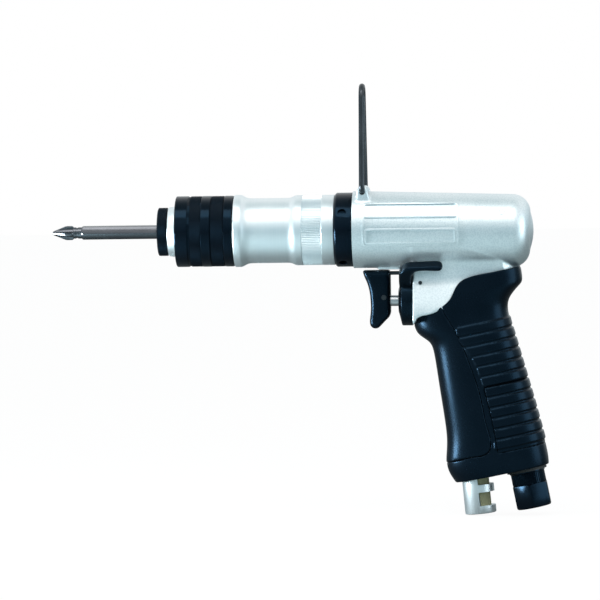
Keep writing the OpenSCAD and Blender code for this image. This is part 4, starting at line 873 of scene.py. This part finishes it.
combined(neck, plan_outline([(NECK_X, NECK_W), (NECK_X, -NECK_W), *rear_arc], -70, 20), "INTERSECT")
combined(neck, region([*GRIP_EDGE, (-0.8, -0.2), (0.8, -0.2)], TUCK), "INTERSECT")
combined(casting, neck, "UNION")
combined(casting, box_piece((110, -5, -20), (121, 5, -9)), "UNION")

# %% Room for the thumb tabs, boss and ears
TAB_MIDDLE, TAB_SWING, TAB_HALF, TAB_GAP = 53, 12, 7, 1
HANGER_X, HANGER_Z, EAR_Y = 102.9, 19, 10.8


def tab_room(side):
    """The room that a thumb tab sweeps: a wedge of a tube about the rod's axis."""
    room = turned([(118.9, 24.95), (143, 24.95), (143, 21.55), (118.9, 21.55)], sides=180)
    half = TAB_SWING + TAB_HALF + TAB_GAP
    for turn_angle in (90 - half, half - 90):
        wedge = box_piece((100, -60, 0), (160, 60, 60))
        combined(room, set_down(wedge, turn=(turn_angle, 0, 0)), "INTERSECT")
    return set_down(room, (0, 0, ROD_Z), (-side * TAB_MIDDLE, 0, 0))


for side in (-1, 1):
    combined(casting, tab_room(side), "DIFFERENCE")
combined(casting, rod(12.2, 22.7, (NECK_X, 0, ROD_Z), sides=96), "UNION")
EAR = [
    (100.1, 10), (100.0, 18), (100.4, 20.2), (101.4, 21.5), (102.9, 22), (104.4, 21.5), (105.4, 20.2),
    (105.9, 18), (106.5, 15.5), (107.4, 13), (107.6, 10),
]
for side in (-1, 1):
    combined(casting, side_outline(EAR, 4, edge=0.5, y=EAR_Y * side, corners=(0, 10)), "UNION")
count("rough casting:", casting)
softened(casting, 0.5, 12)
count("casting skin:", casting)

# %% [markdown]
# ## Raised frames on the near side
# Thin raised lines frame the bare places on the side of the barrel. They could be a bump in the
# finish, but they catch the light like real edges when they are modelled. Each is drawn flat as a
# rounded rectangle with a hole, cut to the skin of a slightly thicker barrel, and joined. That comes
# before the bore, which then cuts away what reaches inwards.

# %% Raised frames
LINE_W, LINE_H, LINE_ROUND = 1.1, 0.7, 0.25
FRAMES = (
    (103.0, 150.9, -8.5, 13.9, 2.2),
    (103.0, 150.9, 6.2, 13.9, 2.2),
    (104.2, 149.7, -7.4, 0.9, 1.6),
)


def frame_box(x0, x1, z0, z1, corner):
    """A raised line round a rectangle in the side view."""
    def rounded(inset):
        centres = ((x1 - corner, z1 - corner, 0), (x0 + corner, z1 - corner, 90),
                   (x0 + corner, z0 + corner, 180), (x1 - corner, z0 + corner, 270))
        r = corner - inset
        return [p for x, z, start in centres for p in arc(x, z, r, r, range(start, start + 91, 30))]

    line = side_outline(rounded(0), 16, smooth=False, y=-16)
    combined(line, side_outline(rounded(LINE_W), 20, smooth=False, y=-16), "DIFFERENCE")
    combined(line, barrel_skin(LINE_H), "INTERSECT")
    return bevelled(line, LINE_ROUND, 2, 40)


for values in FRAMES:
    combined(casting, frame_box(*values), "UNION")
count("with frames:", casting)

# %% [markdown]
# ## Machined faces of the housing
# After casting, a machinist faces and bores the housing, and these edges are crisp. Booleans on the
# smoothed casting do the same. They come last, because a remesh after them would blur the edges.

# %% Handle core and bores
CORE_FRONT, CORE_REAR = -5.4, 5
INLET_T, MUFFLER_T, MUFFLER_LEAN = 12.76, -12.19, 6
core = in_handle(stadium(CORE_FRONT, CORE_REAR, 12.3, 15, 103.4))
combined(core, in_handle(stadium(CORE_FRONT, CORE_REAR, 9.8, 3, 18)), "UNION")
combined(core, in_handle(rod(9, 17.6, (INLET_T, 0, -104.6), "Z", 64)), "UNION")
boss = set_down(rod(9, 18, (0, 0, 0), "Z", 64), (MUFFLER_T, 0, -104.7), (0, MUFFLER_LEAN, 0))
combined(core, in_handle(boss), "UNION")
combined(casting, core, "UNION")
combined(casting, box_piece((90, -30, -25), (BARREL_X, 30, 30)), "DIFFERENCE")
motor_bore = turned([(90, 15.55), (166.5, 15.55), (166.5, 10), (175.5, 10)], ends="cap")
combined(casting, motor_bore, "DIFFERENCE")
combined(casting, rod(1.5, 40, (HANGER_X, -20, HANGER_Z), "Y"), "DIFFERENCE")
valve_bore = turned([(126, 7.25), (129.6, 7.25), (129.6, 9), (165, 9)], ends="cap", sides=96, z=ROD_Z)
combined(casting, valve_bore, "DIFFERENCE")
combined(casting, rod(0.95, 26, (131.2, -13, -26.5), "Y", 32), "DIFFERENCE")
combined(casting, rod(1.3, 4, (172.1, -18.6, 8.3), "Y", 32), "DIFFERENCE")
finished(casting, "cast_motor_housing", "tool", "silver_casting", ["motor_housing"], 30)

# %% [markdown]
# ## Grip
# The grip is one smooth form, a rounded rectangle that changes size down the handle. It could be
# pulled from a box, but sections keep it exact: the first ring is extruded from section to
# section, resized at each, and subdivided. Each row below is a section: its depth down the handle as
# a share of the length, its front and rear edge as shares of the depth, and its width as a share.

# %% The form of the grip
GRIP_SECTIONS = [
    (0.015, -0.57, 0.69, 0.93), (0.076, -0.586, 0.69, 0.93), (0.122, -0.6, 0.68, 0.93),
    (0.135, -0.605, 0.65, 0.93), (0.158, -0.61, 0.57, 0.935), (0.191, -0.62, 0.482, 0.94),
    (0.229, -0.622, 0.45, 0.95), (0.263, -0.609, 0.448, 0.96), (0.287, -0.564, 0.448, 0.965),
    (0.315, -0.491, 0.45, 0.97), (0.344, -0.459, 0.461, 0.97), (0.439, -0.468, 0.48, 0.98),
    (0.573, -0.486, 0.507, 0.99), (0.707, -0.498, 0.534, 1), (0.802, -0.518, 0.548, 1),
    (0.879, -0.577, 0.559, 1), (0.926, -0.589, 0.561, 1), (0.965, -0.564, 0.561, 0.985),
    (1, -0.525, 0.55, 0.955),
]
CORNER_CUT = 0.74


def section_size(row, grow):
    """Middle, half depth, half width and height of a section, in metres."""
    s, front, rear, width = row
    middle = (front + rear) / 2 * GRIP_DEPTH
    half_depth = (rear - front) / 2 * GRIP_DEPTH + grow
    return middle * MM, half_depth * MM, (width * GRIP_W / 2 + grow) * MM, -s * GRIP_LEN * MM


def grip_form(grow=0.0):
    """The whole grip as one closed body, grown on its sides."""
    sizes = [section_size(row, grow) for row in GRIP_SECTIONS]
    obj = added(bpy.ops.mesh.primitive_plane_add, size=2)

    def first_ring():
        bpy.ops.mesh.select_mode(type="VERT")
        everything()
        bpy.ops.mesh.bevel(affect="VERTICES", offset=CORNER_CUT, segments=6, profile=0.5)
        bpy.ops.mesh.delete(type="ONLY_FACE")
        everything()
        middle, depth, width, z = sizes[0]
        bpy.ops.transform.resize(value=(depth, width, 1))
        bpy.ops.transform.translate(value=(middle, 0, z))

    def sections():
        for (m0, d0, w0, z0), (m1, d1, w1, z1) in zip(sizes, sizes[1:]):
            bpy.ops.mesh.extrude_region_move(TRANSFORM_OT_translate={"value": (m1 - m0, 0, z1 - z0)})
            bpy.ops.transform.resize(value=(d1 / d0, w1 / w0, 1), center_override=(m1, 0, z1))

    edited(obj, first_ring, sections)
    modified(obj, "SUBSURF", levels=2, render_levels=2)
    edited(obj, everything, lambda: bpy.ops.mesh.fill_holes(sides=0), outwards)
    return in_handle(obj)


def hollow_form(grow=0.0):
    """The grip without its upper end, the handle's core and the boss of the valve."""
    obj = grip_form(grow)
    combined(obj, region([*GRIP_EDGE, (-0.8, -0.4), (0.8, -0.4)]), "DIFFERENCE")
    combined(obj, barrel_skin(0.1), "DIFFERENCE")
    combined(obj, box_piece((90, -30, -160), (127.6, 30, 0)), "DIFFERENCE")
    combined(obj, in_handle(stadium(CORE_FRONT, CORE_REAR, 12.5, -6, 103.6)), "DIFFERENCE")
    return combined(obj, rod(12.4, 22, (127, 0, ROD_Z), sides=64), "DIFFERENCE")


cover = hollow_form()
count("grip form:", cover)

# %% [markdown]
# ## Ribs across the rear cover
# The palm holds the tool by ribs across the rear cover. They could be cut as grooves, but then the
# cover gets thinner. So a slightly bigger grip is cut to the ribbed region and sliced by a row of
# slabs. An array repeats one slab.

# %% Ribs
RIBBED = [
    (-0.13, 0.27), (-0.02, 0.46), (0.018, 0.578), (0.03, 0.7), (0.03, 0.8), (0.022, 0.9), (0.8, 0.9),
    (0.8, 0.27),
]
RIB_PITCH, RIB_W, RIB_H, RIBS, FIRST_RIB = 5.35, 4.0, 0.7, 12, -29
bars = grip_form(RIB_H)
combined(bars, region(RIBBED), "INTERSECT")
slabs = box_piece((-40, -30, FIRST_RIB - RIB_W), (60, 30, FIRST_RIB))
modified(slabs, "ARRAY", count=RIBS, use_relative_offset=False, use_constant_offset=True,
         constant_offset_displace=(0, 0, -RIB_PITCH * MM))
combined(bars, in_handle(slabs), "INTERSECT")
combined(bars, grip_form(-1), "DIFFERENCE")
count("ribs:", bars)

# %% [markdown]
# ## Front pad, rear cover and lower panel
# Three mouldings meet in thin seams. Lines could be drawn for them, but real seams have rounded lips
# and a dark gap. Each moulding is cut from its own copy of the form with outlines of the side view,
# then remeshed and smoothed a little, which rounds the lips. The pad stands a hair proud of the rest.

# %% Cutting the mouldings apart
PAD_EDGE = [
    (-0.27, 0.1), (-0.27, 0.158), (-0.152, 0.316), (-0.082, 0.473), (-0.05, 0.579), (-0.043, 0.73),
    (-0.048, 0.862), (-0.09, 0.885), (-0.307, 0.891), (-0.8, 0.9), (-0.8, 0.1),
]
PANEL = [(0.018, 0.578), (0.03, 0.7), (0.03, 0.8), (0.022, 0.897), (0.8, 0.897), (0.8, 0.578)]
SEAM, PAD_RISE, PANEL_WALL, POCKET = 0.1, 0.25, 1.2, 1.3
pad = hollow_form(PAD_RISE)
combined(pad, region(PAD_EDGE), "INTERSECT")
combined(cover, set_down(region(PAD_EDGE), (SEAM, 0, -SEAM)), "DIFFERENCE")
combined(cover, bars, "UNION")
panel = copied(cover)
combined(panel, set_down(region(PANEL, smooth=False), (SEAM, 0, 0)), "INTERSECT")
combined(panel, grip_form(-PANEL_WALL), "DIFFERENCE")
panel_room = region(PANEL, smooth=False)
combined(panel_room, grip_form(-POCKET), "DIFFERENCE")
combined(cover, panel_room, "DIFFERENCE")
count("pad:", pad)
count("cover:", cover)
count("panel:", panel)


# %% Rounding the mouldings
def moulded(obj, name, slot, node, voxel, rounds, keep):
    """Softens a moulding, thins its mesh to a share and finishes it."""
    softened(obj, voxel, rounds)
    modified(obj, "DECIMATE", ratio=keep)
    return finished(obj, name, "tool", slot, [node], 40)


moulded(pad, "front_grip_pad", "grip_rubber", "grip_front", 0.4, 9, 0.4)
moulded(cover, "rear_grip_cover", "grip_plastic", "grip_rear", 0.4, 5, 0.35)
moulded(panel, "ribbed_grip_panel", "grip_plastic", "grip_panel", 0.35, 4, 0.4)

# %% [markdown]
# ## Trigger
# The finger piece is a thick moulding with a hollow front and soft edges. It could be shaped from a
# box with a subdivision surface, but its side view has four sharp corners. So it is drawn as an
# outline with a wide bevel, remeshed and smoothed, and then drilled for its pins and the rod.

# %% Trigger
TRIGGER_X, TRIGGER_TOP, TRIGGER_DEPTH, TRIGGER_H, TRIGGER_W = 102, -20.3, 13.9, 29.5, 13
TRIGGER_EDGE = 2.6
TRIGGER_SIDE = [
    (0, 0), (0.075, 0.115), (0.155, 0.2), (0.24, 0.34), (0.28, 0.5), (0.285, 0.68), (0.245, 0.86),
    (0.25, 0.91), (0.31, 0.965), (0.42, 0.99), (0.53, 0.985), (0.64, 0.94), (0.8, 0.86), (0.93, 0.8),
    (1, 0.72), (1, 0.03), (0.97, 0),
]
side_view = [(TRIGGER_X + x * TRIGGER_DEPTH, TRIGGER_TOP - z * TRIGGER_H) for x, z in TRIGGER_SIDE]
trigger = side_outline(side_view, TRIGGER_W, edge=TRIGGER_EDGE, corners=(0, 14, 15, 16))
softened(trigger, 0.4, 30)
combined(trigger, rod(1.3, 20, (112.7, -10, -33.9), "Y", 40), "DIFFERENCE")
combined(trigger, rod(2.8, 14, (107.6, 0, ROD_Z)), "DIFFERENCE")
combined(trigger, rod(1.05, 20, (101, 0, -21.9), sides=32), "DIFFERENCE")
finished(trigger, "finger_trigger", "trigger", "black_plastic", ["trigger"], 40)

# %% [markdown]
# ## Reverse lever
# A ring on the rod carries a thumb tab on each side. Each arm rises from the ring in a bend and ends
# in the tab. It could be a bar bent along a path, but the bend has a thick root and a thin tab, so it
# is drawn in the side view, rounded at its tip by a plan, and softened. The lever rests turned, so
# the near tab stands higher than the far one.

# %% Reverse lever
LEVER_X, ARM_W, TIP_X, TIP_R = 119.9, 5.7, 139.5, 3.1
ARM = [
    (120.7, 10), (126.9, 10), (127, 17), (127.6, 19.6), (129.2, 21.4), (131.5, 22), (141.4, 22),
    (142.6, 22.6), (142.6, 23.6), (141.6, 24.3), (129, 24.3), (125.2, 23.9), (122.6, 22.2),
    (121.0, 19.6), (120.6, 16),
]
lever = turned([
    (LEVER_X, 2.85), (LEVER_X, 6), (LEVER_X + 0.25, 6.6), (121.5, 12.1), (121.9, 12.45), (122.3, 12.5),
    (126.6, 12.5), (126.95, 12.35), (127, 12.1), (127, 2.85),
], sides=160, z=ROD_Z)
round_tip = [*arc(TIP_X, 0, TIP_R, TIP_R, range(-90, 91, 15)), (100, TIP_R), (100, -TIP_R)]
for angle in (TAB_MIDDLE - TAB_SWING, -TAB_MIDDLE - TAB_SWING):
    arm = side_outline(ARM, ARM_W, edge=1.0, corners=(0, 1))
    combined(arm, plan_outline(round_tip, -5, 40), "INTERSECT")
    softened(arm, 0.3, 12)
    combined(lever, set_down(arm, (0, 0, ROD_Z), (angle, 0, 0)), "UNION")
finished(lever, "reverse_ring_and_tabs", "reverse", "black_plastic", ["reverse_lever"], 40)

# %% [markdown]
# ## Air inlet
# The hose screws into a black bush under the handle. It is turned, with a ribbed collar for the hand,
# and milled to a hexagon for the spanner. Six flats could be bevelled by hand, but a turned blank cut
# by a hexagon bar gives the curved chamfer that a real nut has.

# %% Air inlet
INLET_FLATS, COLLAR_TEETH, COLLAR_SHARE = 17, 48, 0.955
bush = turned([
    (-12, 7.6), (1.5, 7.6), (1.5, 8.9), (2.1, 8.9), (2.3, 8.7), (2.3, 7.6), (8.3, 7.6), (8.3, 5),
    (-12, 5),
], sides=96)
hand_collar = toothed_band(
    [(2.3, 8.1), (2.5, 8.5), (7.9, 8.5), (8.3, 8.1)], COLLAR_TEETH, 2.4, 8, COLLAR_SHARE)
combined(hand_collar, rod(5, 10, (0, 0, 0)), "DIFFERENCE")
nut = hexagon_bar(INLET_FLATS, 11.8, 14.1)
combined(nut, turned([(8.2, 9.2), (8.8, 9.8), (18.6, 9.8), (20, 8.2)], ends="cap", sides=96), "INTERSECT")
nut_bore = turned([(7, 5.0), (19.3, 5.7), (20, 6.2), (21, 7.2)], ends="cap", sides=64)
combined(nut, nut_bore, "DIFFERENCE")
bevelled(nut, 0.3, 2, 30)
joined(joined(bush, hand_collar), nut)
in_handle(set_down(bush, (INLET_T, 0, -GRIP_LEN), (0, 90, 0)))
finished(bush, "ribbed_inlet_bush", "tool", "black_metal", ["inlet_bush"], 30)

# %% [markdown]
# ## Muffler
# The used air leaves through a turned tube with slots that look to the rear and show the olive felt
# inside, a CAD node. The slots could be faces pushed inwards, but the tube has a wall, so boxes are
# cut through it, and a small bevel breaks the edges.

# %% Muffler
MUFFLER_LEN = 17.8
SLOTS = ((0, 0.19), (0.4, 0.78))
tube = turned([
    (-6, 6.4), (0, 6.4), (0, 7.8), (17.2, 7.8), (17.65, 7.6), (MUFFLER_LEN, 7.2),
], ends="cap", sides=96)
combined(tube, rod(5.7, 30, (-15, 0, 0), sides=64), "DIFFERENCE")
for low, high in SLOTS:
    slot = box_piece((MUFFLER_LEN * low - 0.01, -10, 0), (MUFFLER_LEN * high, 10, 10))
    combined(tube, slot, "DIFFERENCE")
bevelled(tube, 0.25, 2, 50)
set_down(tube, turn=(0, 90, 0))
in_handle(set_down(tube, (MUFFLER_T, 0, -GRIP_LEN), (0, MUFFLER_LEAN, 0)))
finished(tube, "slotted_muffler", "tool", "silver_turned", ["muffler"], 30)
